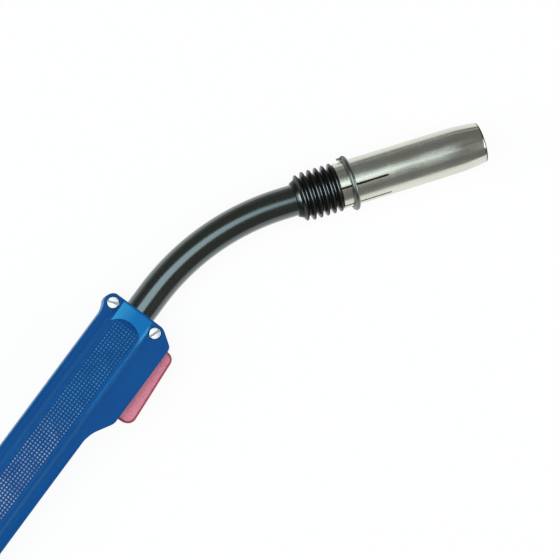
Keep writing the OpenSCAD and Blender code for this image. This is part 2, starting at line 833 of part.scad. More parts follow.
module tip_holder() {
    color([0.74, 0.6, 0.32]) on_nozzle() difference() {
        union() {
            translate([0, 0, holder_rear]) cylinder(r = holder_socket_r, h = 14);
            translate([0, 0, conductor_front + rest_gap])
                cylinder(r = holder_r, h = tip_rear - conductor_front - rest_gap);
        }
        translate([0, 0, holder_rear - 1]) cylinder(r = liner_r + 0.6, h = holder_step - holder_rear + 1);
        translate([0, 0, holder_step - 1]) cylinder(r = holder_wire_r, h = 20);
        translate([0, 0, tip_rear - stub_len - 0.3]) cylinder(r = stub_r + run_gap, h = 30);
        for (a = [0, 90]) translate([0, 0, holder_step - 4]) rotate([0, 90, a])
            translate([0, 0, -20]) cylinder(r = 1, h = 40);
    }
}

module gas_diffuser() {
    color([0.86, 0.83, 0.74]) on_nozzle(diffuser_rear) difference() {
        cylinder(r = diffuser_r, h = diffuser_front - diffuser_rear);
        translate([0, 0, -1]) cylinder(r = holder_r + run_gap, h = 20);
        for (i = [0 : gas_holes - 1]) rotate([0, 0, 360 * i / gas_holes])
            translate([(diffuser_r + holder_r) / 2, 0, -1]) cylinder(r = 0.8, h = 20);
    }
}

module contact_tip() {
    color([0.74, 0.43, 0.27]) on_nozzle() difference() {
        rotate_extrude() polygon([
            [tip_bore / 2, tip_rear - stub_len], [stub_r, tip_rear - stub_len], [stub_r, tip_rear + rest_gap],
            [tip_od / 2, tip_rear + rest_gap], [tip_od / 2, tip_front - 13],
            [tip_od * 0.3, tip_front - 0.6], [tip_od * 0.3 - 0.6, tip_front], [tip_bore / 2, tip_front]
        ]);
        for (side = [0, 1]) mirror([side, 0, 0])
            translate([tip_od * 0.42, -10, tip_rear + 3]) cube([10, 20, 7]);
    }
}

module gas_nozzle() {
    color([0.72, 0.73, 0.7]) on_nozzle(nozzle_rear) difference() {
        rotate_extrude() soft_polygon([
            [seat_r + run_gap, 0], [nozzle_r, 0], [nozzle_r, nozzle_len - nozzle_taper], [mouth_r, nozzle_len],
            [bore_r, nozzle_len], [bore_r, nozzle_len - mouth_land], [seat_r + run_gap, seat_bore_len]
        ], [0, 0.4, 40, 0.9, 0.5, 0, 0]);
        for (i = [0 : slit_pairs - 1], second = [0, 1])
            rotate([0, 0, 360 * i / slit_pairs - 180 + slit_turn + second * slit_spread])
            translate([seat_r - 2, -slit_w / 2, -1]) cube([8, slit_w, slit_len + 1]);
        translate([0, 0, ring_back]) rotate_extrude()
            translate([ring_mid_r, 0]) circle(r = ring_wire / 2 + 0.02);
    }
}

// The ring is open, and one end is bent back along the nozzle
module nozzle_ring() {
    color([0.66, 0.66, 0.64]) on_nozzle(nozzle_rear + ring_back) rotate([0, 0, 98]) {
        rotate_extrude(angle = 350) translate([ring_mid_r, 0]) circle(r = ring_wire / 2);
        translate([ring_mid_r + 0.3, 0.5, -3.8]) cylinder(r = 0.6, h = 3.8);
    }
}

handle_shell_near();
handle_shell_far();
rear_collar();
handle_screws();
handle_nuts();
trigger();
trigger_pin();
trigger_spring();
switch_body();
switch_plunger();
switch_terminals();
switch_pins();
trigger_leads();
lead_connectors();
cable_block();
union_nut();
neck_flange();
neck_o_rings();
neck_conductor();
neck_insulation();
neck_jacket();
wire_liner();
ribbed_collar();
nozzle_seat();
tip_holder();
gas_diffuser();
contact_tip();
gas_nozzle();
nozzle_ring();
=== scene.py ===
# %% [markdown]
# # A welding torch for the part library
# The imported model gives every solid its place. This lesson dresses it: outer pieces that the eye rests on
# are modelled again with rounded edges and finer detail, and the solids that stay get real finishes. The
# torch's lengths are written in millimetres and turned into metres where they are used. The studio's are in
# metres.

# %% Load the frame
import math

import bmesh
import bpy
from mathutils import Matrix, Vector


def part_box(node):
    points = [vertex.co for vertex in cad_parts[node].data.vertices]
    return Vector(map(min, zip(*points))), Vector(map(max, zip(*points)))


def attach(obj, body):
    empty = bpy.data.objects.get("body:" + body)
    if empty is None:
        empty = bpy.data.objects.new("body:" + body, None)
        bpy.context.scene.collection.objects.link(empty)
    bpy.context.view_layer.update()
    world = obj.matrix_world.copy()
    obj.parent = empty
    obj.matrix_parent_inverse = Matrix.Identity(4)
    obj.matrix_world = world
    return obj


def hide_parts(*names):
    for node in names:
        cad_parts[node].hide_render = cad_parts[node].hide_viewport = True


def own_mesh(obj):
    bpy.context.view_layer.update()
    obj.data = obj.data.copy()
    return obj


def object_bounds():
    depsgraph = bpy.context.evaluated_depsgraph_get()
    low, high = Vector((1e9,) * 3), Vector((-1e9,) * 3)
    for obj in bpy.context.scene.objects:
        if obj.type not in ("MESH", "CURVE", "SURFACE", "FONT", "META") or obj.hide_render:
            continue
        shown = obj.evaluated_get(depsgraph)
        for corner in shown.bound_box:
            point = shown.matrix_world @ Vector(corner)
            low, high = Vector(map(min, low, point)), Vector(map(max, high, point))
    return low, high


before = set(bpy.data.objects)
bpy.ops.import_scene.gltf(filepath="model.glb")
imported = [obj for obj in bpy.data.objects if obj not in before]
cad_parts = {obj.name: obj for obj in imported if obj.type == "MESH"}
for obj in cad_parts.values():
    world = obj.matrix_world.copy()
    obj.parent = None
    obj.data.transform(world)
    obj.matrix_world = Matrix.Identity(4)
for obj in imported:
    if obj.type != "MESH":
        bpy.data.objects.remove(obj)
cad_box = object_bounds()
MM = 0.001
print("solids loaded:", len(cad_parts), "box", [round(v / MM, 1) for v in (*cad_box[0], *cad_box[1])])

# %% [markdown]
# ## Where the camera stands
# The torch lies on its side and is seen from almost straight above, with a long lens. The handle points to
# the upper right and the nozzle leans a few degrees away from the camera, so its rings show as slight bows.
# The camera's three axes are written down directly, which is clearer here than turning it by angles.

# %% Camera
BEND = math.radians(36)
NOZZLE_WAY = Vector((math.cos(BEND), -math.sin(BEND), 0))
LENS, SENSOR = 170, 36
LEAN = math.radians(7.5)
VIEW_WIDTH = 312.8
VIEW_MIDDLE = Vector((240.46, -52.08, 0)) * MM

toward_camera = (Vector((0, 0, 1)) * math.cos(LEAN) - NOZZLE_WAY * math.sin(LEAN)).normalized()
image_right = Vector((0.5976, -0.8018, 0))
image_right = (image_right - toward_camera * image_right.dot(toward_camera)).normalized()
image_up = toward_camera.cross(image_right)

camera_data = bpy.data.cameras.new("studio_camera")
camera_data.lens = LENS
camera_data.sensor_width = SENSOR
camera_data.clip_end = 50
camera = bpy.data.objects.new("studio_camera", camera_data)
bpy.context.scene.collection.objects.link(camera)
turn = Matrix((image_right, image_up, toward_camera)).transposed().to_4x4()
eye = VIEW_MIDDLE + toward_camera * VIEW_WIDTH * MM * LENS / SENSOR
camera.matrix_world = Matrix.Translation(eye) @ turn
bpy.context.scene.camera = camera
print("camera stands at", [round(v, 3) for v in camera.matrix_world.translation], "m")

# %% [markdown]
# ## Sizes to work from
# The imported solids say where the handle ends, how high its raised band stands and how deep its keel is. The
# keel is drawn a little shallower than the solid's. A few sizes that the box can't tell are written here
# once, and the pieces and finishes below all take them from this cell.

# %% Sizes taken from the frame
KEEL_RISE = 0.7
lowest, highest = (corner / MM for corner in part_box("handle_shell_near"))
FRONT, BAND_TOP = round(highest.x, 2), round(highest.z, 2)
KEEL = round(lowest.y + KEEL_RISE, 2)
SPINE, BELLY, PLATE = 18.2, -16.8, 13.0
BAND_MIDDLE, BAND_HALF = 1.3, 10.0
SCREWS = [(FRONT - 5, 15.55), (FRONT - 5, -12.95)]
EAR = 5.2
NOSE, NOSE_DROP = FRONT - 13, 3.0
PANEL, PANEL_DEPTH, BOW = 8.0, 0.6, 11.11
BOW_MIDDLE = (FRONT - 8.5 - BOW, BAND_MIDDLE)
PIN, PIN_BORE = (167, -20.9), 1.55
print("front", FRONT, "keel", KEEL, "top of the band", BAND_TOP)

# %% [markdown]
# ## Hands for the work
# These short helpers do what a modeller does with the mouse: clear the selection, draw a line point by
# point, pick vertices, edges or faces by their place, and put a modifier to work. A lone point is a plane
# whose four corners are merged, and a line grows from it by extruding.

# %% Helpers for selecting
def mm(*lengths):
    return tuple(v * MM for v in lengths)


def leave():
    bpy.ops.object.mode_set(mode="OBJECT")


def clear_selection():
    if bpy.context.mode != "OBJECT":
        leave()
    bpy.ops.object.select_all(action="DESELECT")


def work_on(piece):
    clear_selection()
    piece.select_set(True)
    bpy.context.view_layer.objects.active = piece


def edit(piece):
    work_on(piece)
    bpy.ops.object.mode_set(mode="EDIT")


def named(name):
    """Names the piece that was just made."""
    piece = bpy.context.object
    piece.name = piece.data.name = name
    return piece


def pick_all():
    bpy.ops.mesh.select_all(action="SELECT")


def pick(kind, test):
    """Selects vertices, edges or faces whose middle passes the test, and lists those middles."""
    mesh = bpy.context.object.data
    bpy.ops.mesh.select_mode(type=kind)
    bpy.ops.mesh.select_all(action="DESELECT")
    form = bmesh.from_edit_mesh(mesh)
    chosen = []
    for part in {"VERT": form.verts, "EDGE": form.edges, "FACE": form.faces}[kind]:
        corners = [part.co] if kind == "VERT" else [v.co for v in part.verts]
        middle = sum(corners, Vector()) / len(corners) / MM
        if test(middle, part):
            part.select_set(True)
            chosen.append(middle)
    form.select_flush_mode()
    bmesh.update_edit_mesh(mesh)
    return chosen


def near(place, reach=0.05):
    return lambda middle, part: (middle - Vector(place)).length < reach


# %% Helpers for shaping
def shift(*way):
    bpy.ops.transform.translate(value=mm(*way))


def push(*way):
    """Extrudes what is selected by a step in millimetres."""
    bpy.ops.mesh.extrude_region_move(TRANSFORM_OT_translate={"value": mm(*way)})


def bevel(size, steps, kind="EDGES", **settings):
    bpy.ops.mesh.bevel(offset=size * MM, segments=steps, affect=kind, **settings)


def spin(steps, degrees=360, **settings):
    """Spins what is selected round the X axis."""
    bpy.ops.mesh.spin(steps=steps, angle=math.radians(degrees), center=(0, 0, 0), axis=(1, 0, 0), **settings)


def tidy_skin():
    """Merges doubled points and turns every face outwards."""
    pick_all()
    bpy.ops.mesh.remove_doubles(threshold=0.002 * MM)
    bpy.ops.mesh.normals_make_consistent(inside=False)
    bpy.ops.mesh.select_all(action="DESELECT")


def clean(piece):
    edit(piece)
    tidy_skin()
    leave()


def draw_line(name, points, filled=True):
    """Draws a closed line through points in millimetres, and may fill it. Leaves edit mode open."""
    clear_selection()
    bpy.ops.mesh.primitive_plane_add(size=MM, location=(0, 0, 0))
    piece = named(name)
    edit(piece)
    bpy.ops.mesh.select_mode(type="VERT")
    bpy.ops.mesh.merge(type="CENTER")
    shift(*points[0])
    for here, there in zip(points, points[1:]):
        step = [b - a for a, b in zip(here, there)]
        bpy.ops.mesh.extrude_vertices_move(TRANSFORM_OT_translate={"value": mm(*step)})
    pick("VERT", lambda m, v: len(v.link_edges) == 1)
    bpy.ops.mesh.edge_face_add()
    if filled:
        pick_all()
        bpy.ops.mesh.edge_face_add()
    return piece


# %% Helpers for modifiers and cutting
def use_modifier(piece, kind, **settings):
    work_on(piece)
    change = piece.modifiers.new(kind.lower(), kind)
    for setting, value in settings.items():
        setattr(change, setting, value)
    bpy.ops.object.modifier_apply(modifier=change.name)


def combine(piece, other, how="DIFFERENCE"):
    use_modifier(piece, "BOOLEAN", object=other, operation=how, solver="EXACT")
    bpy.data.objects.remove(other)


def settle():
    """Works the place, turn and scale of the selected piece into its mesh."""
    bpy.ops.object.transform_apply(location=True, rotation=True, scale=True)


def block(name, low, high, soft=0.0):
    """A block between two corners in millimetres, which may have soft edges."""
    clear_selection()
    bpy.ops.mesh.primitive_cube_add(size=1, location=mm(*[(a + b) / 2 for a, b in zip(low, high)]))
    piece = named(name)
    piece.scale = mm(*[b - a for a, b in zip(low, high)])
    settle()
    if soft:
        edit(piece)
        pick_all()
        bevel(soft, 3)
        leave()
    return piece


def rod(name, start, end, radius, sides):
    """A round bar between two points in millimetres."""
    clear_selection()
    start, end = Vector(start) * MM, Vector(end) * MM
    bpy.ops.mesh.primitive_cylinder_add(vertices=sides, radius=radius * MM, depth=(end - start).length)
    piece = named(name)
    piece.rotation_mode = "QUATERNION"
    piece.rotation_quaternion = (end - start).to_track_quat("Z", "Y")
    piece.location = (start + end) / 2
    settle()
    return piece


def lathe(name, profile, steps=72):
    """Spins a closed profile of (along, radius) points in millimetres round the X axis."""
    piece = draw_line(name, [(along, radius, 0) for along, radius in profile], filled=False)
    pick_all()
    spin(steps)
    tidy_skin()
    leave()
    return piece


def arc(middle, radius, start, end, steps):
    angles = [math.radians(start + (end - start) * i / steps) for i in range(steps + 1)]
    return [(middle[0] + radius * math.cos(a), middle[1] + radius * math.sin(a)) for a in angles]


def circle(middle, radius, sides):
    return arc(middle, radius, 0, 360 - 360 / sides, sides - 1)


# %% Helpers for placing and finishing
BEND_END, STRAIGHT = Vector((274.853, -27.311, 0)), 7.8
COLLAR_REAR = BEND_END + NOZZLE_WAY * STRAIGHT


def put(piece, turn=(0, 0, 0), where=(0, 0, 0)):
    """Turns a piece, moves it to a place in metres, and works both into its mesh."""
    work_on(piece)
    piece.rotation_euler = turn
    piece.location = where
    settle()


def lay_on_nozzle(piece, along=0.0):
    """Moves a piece modelled along X to the nozzle's axis, so far in front of the ribbed collar's rear."""
    put(piece, (0, 0, -BEND), (COLLAR_REAR + NOZZLE_WAY * along) * MM)


def copied(piece, name, mirrored=False):
    """Copies a piece, and may mirror the copy to the far side."""
    work_on(piece)
    bpy.ops.object.duplicate()
    copy = named(name)
    if mirrored:
        copy.scale = (1, 1, -1)
        settle()
        clean(copy)
    return copy


def soften(piece, angle, weighted=False):
    """Shades a piece smooth up to an angle. Weighted normals keep its flat faces looking flat."""
    work_on(piece)
    bpy.ops.object.shade_smooth_by_angle(angle=math.radians(angle))
    if weighted:
        use_modifier(piece, "WEIGHTED_NORMAL", keep_sharp=True)


def dress(piece, body, slot, finish, *nodes):
    """Gives a finished piece its finish and body, and hides the solids it stands for. The slot is not used.
    """
    piece.data.materials.clear()
    piece.data.materials.append(finish)
    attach(piece, body)
    if nodes:
        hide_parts(*nodes)
    clear_selection()
    print(piece.name, "has", len(piece.data.polygons), "faces on body", body)


print("helpers ready")

# %% [markdown]
# ## Shared effects
# Four effects come back in many finishes, so each is a node group: the grain that a mould leaves, wear
# along edges, the fine lines of turned metal, and the cloudy film of handling. A group only hands out masks
# and heights. The shader itself stays in each material. In the helpers, a source is a number, a colour or a
# pair of a node and the name or number of its output.

# %% A small builder for node groups
def effect(name, outputs, **numbers):
    """A new group that takes a vector and some numbers, with its input and output nodes."""
    group = bpy.data.node_groups.new(name, "ShaderNodeTree")
    group.interface.new_socket(name="Vector", in_out="INPUT", socket_type="NodeSocketVector")
    for socket, value in numbers.items():
        made = group.interface.new_socket(name=socket, in_out="INPUT", socket_type="NodeSocketFloat")
        made.default_value = value
    for socket in outputs:
        group.interface.new_socket(name=socket, in_out="OUTPUT", socket_type="NodeSocketFloat")
    return group, group.nodes.new("NodeGroupInput"), group.nodes.new("NodeGroupOutput")


def node(tree, kind, **settings):
    made = tree.nodes.new(kind)
    for setting, value in settings.items():
        setattr(made, setting, value)
    return made


def feed(source, made, socket):
    """Links a pair to a socket, or sets the socket to a constant value."""
    if isinstance(source, tuple) and isinstance(source[0], bpy.types.Node):
        made.id_data.links.new(source[0].outputs[source[1]], made.inputs[socket])
    else:
        made.inputs[socket].default_value = source


def fill(made, values):
    """Feeds several sockets of a node, and hands it back."""
    for socket, value in values.items():
        feed(value, made, socket)
    return made


def math_step(tree, operation, first, second=0):
    made = node(tree, "ShaderNodeMath", operation=operation)
    return fill(made, {0: first, 1: second}), 0


def vector_step(tree, operation, first, second):
    made = node(tree, "ShaderNodeVectorMath", operation=operation)
    return fill(made, {0: first, 1: second}), "Value" if operation == "DOT_PRODUCT" else "Vector"


def ranged(tree, source, low, high, to_low=0.0, to_high=1.0):
    """A clamped Map Range node."""
    values = {"Value": source, "From Min": low, "From Max": high, "To Min": to_low, "To Max": to_high}
    return fill(node(tree, "ShaderNodeMapRange"), values), 0


def noise(tree, place, scale, **values):
    return fill(node(tree, "ShaderNodeTexNoise"), {"Vector": place, "Scale": scale, **values}), 0


def split(tree, source):
    """A node whose outputs are the X, Y and Z of a vector."""
    return fill(node(tree, "ShaderNodeSeparateXYZ"), {0: source})


# %% Mould grain
mould_grain, into, out = effect("mould grain", ["Height", "Mottle"], Scale=2500.0)
fine = noise(mould_grain, (into, "Vector"), (into, "Scale"), Detail=3)
broad_scale = math_step(mould_grain, "MULTIPLY", (into, "Scale"), 0.02)
broad = noise(mould_grain, (into, "Vector"), broad_scale, Detail=4)
feed(fine, out, "Height")
feed(ranged(mould_grain, broad, 0.3, 0.7), out, "Mottle")

# %% Worn edges
worn_edges, into, out = effect("worn edges", ["Mask"], Radius=0.6 * MM, Patchy=300.0)
rounded = node(worn_edges, "ShaderNodeBevel", samples=6)
feed((into, "Radius"), rounded, "Radius")
flat = node(worn_edges, "ShaderNodeNewGeometry")
agree = vector_step(worn_edges, "DOT_PRODUCT", (rounded, "Normal"), (flat, "Normal"))
edge = ranged(worn_edges, agree, 0.995, 0.82)
patches = noise(worn_edges, (into, "Vector"), (into, "Patchy"))
broken = ranged(worn_edges, patches, 0.25, 0.6)
feed(math_step(worn_edges, "MULTIPLY", edge, broken), out, "Mask")

# %% Turning lines
turning_lines, into, out = effect("turning lines", ["Height", "Sheen"], Scale=3000.0)
stretch = vector_step(turning_lines, "MULTIPLY", (into, "Vector"), (1, 0.012, 0.012))
lines = noise(turning_lines, stretch, (into, "Scale"), Detail=2)
slow_scale = math_step(turning_lines, "MULTIPLY", (into, "Scale"), 0.06)
slow = noise(turning_lines, stretch, slow_scale)
feed(lines, out, "Height")
feed(ranged(turning_lines, slow, 0.3, 0.7), out, "Sheen")

# %% Handling film
handling, into, out = effect("handling film", ["Mask"], Scale=60.0)
cloud = noise(handling, (into, "Vector"), (into, "Scale"), Detail=6, Distortion=0.8)
feed(ranged(handling, cloud, 0.35, 0.65), out, "Mask")
print("node groups:", [g.name for g in bpy.data.node_groups])


# %% A small builder for finishes
def skin(name, constants=()):
    """A new material with its Principled shader, and object coordinates to hang the effects on."""
    material = bpy.data.materials.new(name)
    material.use_nodes = True
    tree = material.node_tree
    shader = tree.nodes["Principled BSDF"]
    fill(shader, dict(constants))
    return material, tree, shader, (node(tree, "ShaderNodeTexCoord"), "Object")


def use(tree, group, place, **values):
    """Puts an effect into a material."""
    return fill(node(tree, "ShaderNodeGroup", node_tree=group), {"Vector": place, **values})


def tint(tree, mask, below, above):
    """Mixes from one colour or pair to another by a mask."""
    made = node(tree, "ShaderNodeMix", data_type="RGBA")
    feed(mask, made, "Factor")
    for socket, source in ((6, below), (7, above)):
        feed(source if isinstance(source[0], bpy.types.Node) else (*source, 1), made, socket)
    return made, 2


def bump(shader, height, strength, distance):
    made = node(shader.id_data, "ShaderNodeBump")
    fill(made, {"Height": height, "Strength": strength, "Distance": distance * MM})
    feed((made, "Normal"), shader, "Normal")


def paint(shader, colour, rough):
    fill(shader, {"Base Color": colour, "Roughness": rough})


def gloss(tree, film, low, high):
    """A roughness that wanders between two values with the film of handling."""
    return ranged(tree, (film, "Mask"), 0, 1, low, high)


def laid_along(tree, place, angle):
    """Coordinates turned so that X runs along a piece's own axis."""
    return fill(node(tree, "ShaderNodeMapping"), {"Vector": place, "Rotation": (0, 0, angle)}), "Vector"


# %% [markdown]
# ## Two families of finish
# Most of the torch is moulded plastic or turned metal. Each family is one function: it takes the two
# colours that the surface wanders between and its range of roughness. The visible pieces then get finishes
# of their own, built from the same effects.

# %% Moulded plastic and turned metal
def moulded(name, dark, light, rough=(0.4, 0.55), edge=None):
    material, tree, shader, place = skin(name)
    grains = use(tree, mould_grain, place)
    film = use(tree, handling, place)
    colour = tint(tree, (grains, "Mottle"), dark, light)
    if edge:
        wear = use(tree, worn_edges, place)
        colour = tint(tree, math_step(tree, "MULTIPLY", (wear, "Mask"), 0.5), colour, edge)
    paint(shader, colour, gloss(tree, film, *rough))
    bump(shader, (grains, "Height"), 0.5, 0.02)
    return material


def turned(name, dark, light, rough=(0.25, 0.4), angle=0.0):
    material, tree, shader, place = skin(name, {"Metallic": 1.0})
    marks = use(tree, turning_lines, laid_along(tree, place, angle))
    film = use(tree, handling, place)
    colour = tint(tree, (film, "Mask"), dark, light)
    blend = math_step(tree, "ADD", (marks, "Sheen"), (film, "Mask"))
    paint(shader, colour, ranged(tree, blend, 0, 2, *rough))
    bump(shader, (marks, "Height"), 0.4, 0.01)
    return material


# %% Finishes for the pieces inside
RUBBER, SEAT, SINTERED = (0.6, 0.75), (0.35, 0.55), (0.6, 0.8)
inner = {
    "zinc_nut": turned("zinc nut", (0.48, 0.49, 0.5), (0.62, 0.63, 0.64)),
    "ground_steel": turned("ground steel", (0.4, 0.41, 0.42), (0.55, 0.56, 0.57)),
    "spring_steel": turned("spring steel", (0.33, 0.34, 0.35), (0.45, 0.46, 0.47)),
    "switch_black": moulded("switch black", (0.008, 0.008, 0.009), (0.014, 0.014, 0.015)),
    "plunger_cream": moulded("plunger cream", (0.62, 0.58, 0.47), (0.7, 0.66, 0.56)),
    "tinned_tab": turned("tinned tab", (0.52, 0.5, 0.43), (0.66, 0.63, 0.56)),
    "lead_sheath": moulded("lead sheath", (0.2, 0.008, 0.008), (0.27, 0.014, 0.012)),
    "connector_sleeve": moulded("connector sleeve", (0.4, 0.03, 0.03), (0.5, 0.045, 0.04)),
    "brass": turned("turned brass", (0.42, 0.25, 0.06), (0.58, 0.37, 0.12)),
    "o_ring_rubber": moulded("o ring rubber", (0.004, 0.004, 0.004), (0.009, 0.009, 0.009), RUBBER),
    "copper": turned("drawn copper", (0.45, 0.16, 0.06), (0.62, 0.28, 0.13), angle=BEND),
    "insulation": moulded("neck insulation", (0.6, 0.55, 0.43), (0.68, 0.63, 0.52)),
    "seat_brown": turned("darkened seat", (0.03, 0.018, 0.009), (0.07, 0.04, 0.018), SEAT, BEND),
    "ceramic_cream": moulded("sintered ceramic", (0.6, 0.52, 0.38), (0.7, 0.62, 0.48), SINTERED),
}
print("inner finishes:", len(inner))

# %% [markdown]
# ## Blue plastic
# The shells are satin plastic, deep blue, with a fine spark-eroded grain. Edges that meet the glove are
# rubbed paler. The sloped nose in front of the grip panel is painted lighter than the sides as a painted
# highlight, and the band's edge above the trigger gets a painted highlight line. Masks made from object
# coordinates find both, so they stay in place from every side. Faces seen at a slant get a painted sheen.

# %% Masks for the painted highlights
def times(tree, *sources):
    product = sources[0]
    for source in sources[1:]:
        product = math_step(tree, "MULTIPLY", product, source)
    return product


def within(tree, *limits):
    """A mask that is 1 where every source lies inside its limits, given as off and on in millimetres."""
    return times(tree, *[ranged(tree, source, off * MM, on * MM) for source, off, on in limits])


def nose_highlight_mask(tree, parts, height):
    """The nose in front of the bowed panel end, up to a thin edge at the very front, painted lighter as a
    highlight.
    """
    across = math_step(tree, "SUBTRACT", (parts, "Y"), BAND_MIDDLE * MM)
    side = math_step(tree, "ABSOLUTE", across)
    along = math_step(tree, "SUBTRACT", (parts, "X"), BOW_MIDDLE[0] * MM)
    squares = [math_step(tree, "MULTIPLY", part, part) for part in (across, along)]
    reach = math_step(tree, "SQRT", math_step(tree, "ADD", *squares))
    return within(
        tree, ((parts, "X"), NOSE - 2.5, NOSE + 0.5), ((parts, "X"), FRONT - 0.6, FRONT - 1.6),
        (side, BAND_HALF, BAND_HALF - 0.6), (reach, BOW, BOW + 0.3), (height, PLATE + 0.1, PLATE + 0.5))


def band_edge_highlight_mask(tree, parts, height):
    """The band's edge on the trigger's side, from the trigger to the nose, where a highlight line is painted.
    """
    across = math_step(tree, "SUBTRACT", (parts, "Y"), (BAND_MIDDLE - BAND_HALF) * MM)
    aside = math_step(tree, "ABSOLUTE", across)
    return within(
        tree, (aside, 1.2, 0.1), ((parts, "X"), 106, 126), ((parts, "X"), FRONT - 3, FRONT - 5),
        (height, PLATE + 0.6, PLATE + 2.0))


# %% Blue shell finish
def blue_plastic():
    material, tree, shader, place = skin("blue shell", {"Specular IOR Level": 0.06})
    grains = use(tree, mould_grain, place, Scale=2200.0)
    film = use(tree, handling, place, Scale=45.0)
    wear = use(tree, worn_edges, place, Patchy=220.0)
    parts = split(tree, place)
    height = math_step(tree, "ABSOLUTE", (parts, "Z"))
    colour = tint(tree, (grains, "Mottle"), (0.0026, 0.062, 0.228), (0.004, 0.0735, 0.252))
    # Painted highlight: the nose is painted a lighter blue, most of all toward its upper side.
    upward = ranged(tree, (parts, "Y"), 1 * MM, 11 * MM)
    painted_nose_highlight = tint(tree, upward, (0.008, 0.15, 0.41), (0.03, 0.27, 0.525))
    colour = tint(tree, nose_highlight_mask(tree, parts, height), colour, painted_nose_highlight)
    # Painted highlight: a lighter line along the band's edge above the trigger, lighter still toward the
    # nose.
    forward = ranged(tree, (parts, "X"), (NOSE - 5) * MM, (NOSE + 1) * MM)
    painted_edge_highlight = tint(tree, forward, (0.009, 0.135, 0.39), (0.045, 0.3, 0.6))
    colour = tint(tree, band_edge_highlight_mask(tree, parts, height), colour, painted_edge_highlight)
    rubbed = math_step(tree, "MULTIPLY", (wear, "Mask"), 0.4)
    colour = tint(tree, rubbed, colour, (0.04, 0.24, 0.55))
    # Painted sheen: faces seen at a slant are tinted a lighter blue.
    slant = node(tree, "ShaderNodeLayerWeight")
    painted_sheen = ranged(tree, (slant, "Facing"), 0.37, 0.85, 0.0, 0.9)
    colour = tint(tree, painted_sheen, colour, (0.06, 0.23, 0.46))
    paint(shader, colour, gloss(tree, film, 0.42, 0.54))
    bump(shader, (grains, "Height"), 0.5, 0.02)
    return material


blue_shell = blue_plastic()
print("made", blue_shell.name)

# %% [markdown]
# ## One half of the handle
# The handle is two moulded halves that meet on a flat parting plane. A half can be drawn as its side
# outline, with the ear round the upper screw, and extruded to the side plate. The rim is then rounded by a
# bevel whose width follows a weight on each edge: wide where the palm lies, and thin round the ear, the
# keel and the front. Points along the straight stretches let that width change bit by bit. That is quicker
# than sculpting, and gives the even rounding that the real mould has.

# %% Outline of the side
REAR, RAMP = 5.1, (107.6, 120.9)
CHIN, LOW_FRONT, EAR_FOOT = FRONT - 6.6, BELLY + 1.65, FRONT - 11.1
ear_start = math.degrees(math.acos((FRONT - SCREWS[0][0]) / EAR))
outline = [(REAR, SPINE), (REAR, BELLY)] + [(x, BELLY) for x in (*range(62, 95, 8), RAMP[0])]
outline += [(x, KEEL) for x in (RAMP[1], *range(140, 165, 8), CHIN)] + [(FRONT, LOW_FRONT)]
outline += arc(SCREWS[0], EAR, ear_start, 118, 14)
outline += [(x, SPINE) for x in (EAR_FOOT, *range(160, 124, -7))]
half = draw_line("handle_half", [(x, y, 0) for x, y in outline])
for corner, size, steps in (((RAMP[0], BELLY, 0), 5.0, 9), ((RAMP[1], KEEL, 0), 1.6, 6),
                            ((CHIN, KEEL, 0), 1.8, 5), ((FRONT, LOW_FRONT, 0), 1.9, 6),
                            ((EAR_FOOT, SPINE, 0), 3.0, 6)):
    pick("VERT", near(corner))
    bevel(size, steps, "VERTICES")
print("outline points:", len(bmesh.from_edit_mesh(half.data).verts))

# %% Side plate with a rounded rim
WIDEST = 4.6


def rim_width(middle):
    """How wide the rim of the side plate is rounded at a place, in millimetres."""
    if middle.y > 0:
        start, end, wide, thin = 122, 162, 4.2, 0.5
    elif middle.x < 120:
        start, end, wide, thin = 58, 98, WIDEST, 1.0
    else:
        start, end, wide, thin = 136, 168, 1.0, 0.5
    share = min(max((middle.x - start) / (end - start), 0), 1)
    return wide + (thin - wide) * share


pick_all()
push(0, 0, PLATE)
tidy_skin()
rim = pick("EDGE", lambda m, e: m.z > PLATE - 0.1 and m.x > REAR + 0.1)
for middle in rim:
    pick("EDGE", near(middle, 0.01))
    bpy.ops.transform.edge_bevelweight(value=rim_width(middle) / WIDEST)
leave()
use_modifier(half, "BEVEL", width=WIDEST * MM, segments=6, limit_method="WEIGHT", use_clamp_overlap=False)
print("rim edges rounded:", len(rim))

# %% Raised band with its sloped nose
BAND_REAR, BURIED, SLOPE = 17, 9, 2.1
foot, band_front = BAND_HALF + SLOPE, FRONT - 0.02


def crease_at_nose():
    """Adds points across the open piece where the nose starts to slope."""
    pick_all()
    bpy.ops.mesh.bisect(plane_co=mm(NOSE, 0, 0), plane_no=(1, 0, 0))


corners = ((BAND_REAR, -foot), (band_front, -foot), (band_front, foot), (BAND_REAR, foot))
band = draw_line("band", [(x, BAND_MIDDLE + side, BURIED) for x, side in corners])
pick_all()
push(0, 0, PLATE - BURIED)
push(0, 0, BAND_TOP - PLATE)
bpy.ops.transform.resize(value=(1, BAND_HALF / foot, 1), center_override=mm(0, BAND_MIDDLE, 0))
crease_at_nose()
pick("VERT", lambda m, v: m.z > BAND_TOP - 0.1 and m.x > FRONT - 1)
shift(0, 0, -NOSE_DROP)
tidy_skin()
crease = pick("EDGE", lambda m, e: all(v.co.z > (PLATE + 0.3) * MM for v in e.verts)
              and (abs(m.y - BAND_MIDDLE) > BAND_HALF - 1 or m.x > FRONT - 1))
bevel(0.4, 3)
print("band edges softened:", len(crease))
leave()
combine(half, band, "UNION")
print("half with band:", len(half.data.polygons), "faces")

# %% [markdown]
# ## Hollow inside
# The halves are hollow, with walls left standing where they clamp the neck and the cable block. Each
# chamber is cut with a soft-edged block. The rear end is turned down to a cone and a spigot that the collar
# screws onto, which one spun shape does when only the common part is kept.

# %% Rear cone and spigot
rear_line = [(0, 0), (REAR, 0), (REAR, 13.4), (16.1, 13.4), (16.1, 16.0), (42, 30), (60, 60)]
rear_line += [(200, 60), (200, 0)]
combine(half, lathe("rear_form", rear_line), "INTERSECT")
print("rear turned:", len(half.data.polygons), "faces")

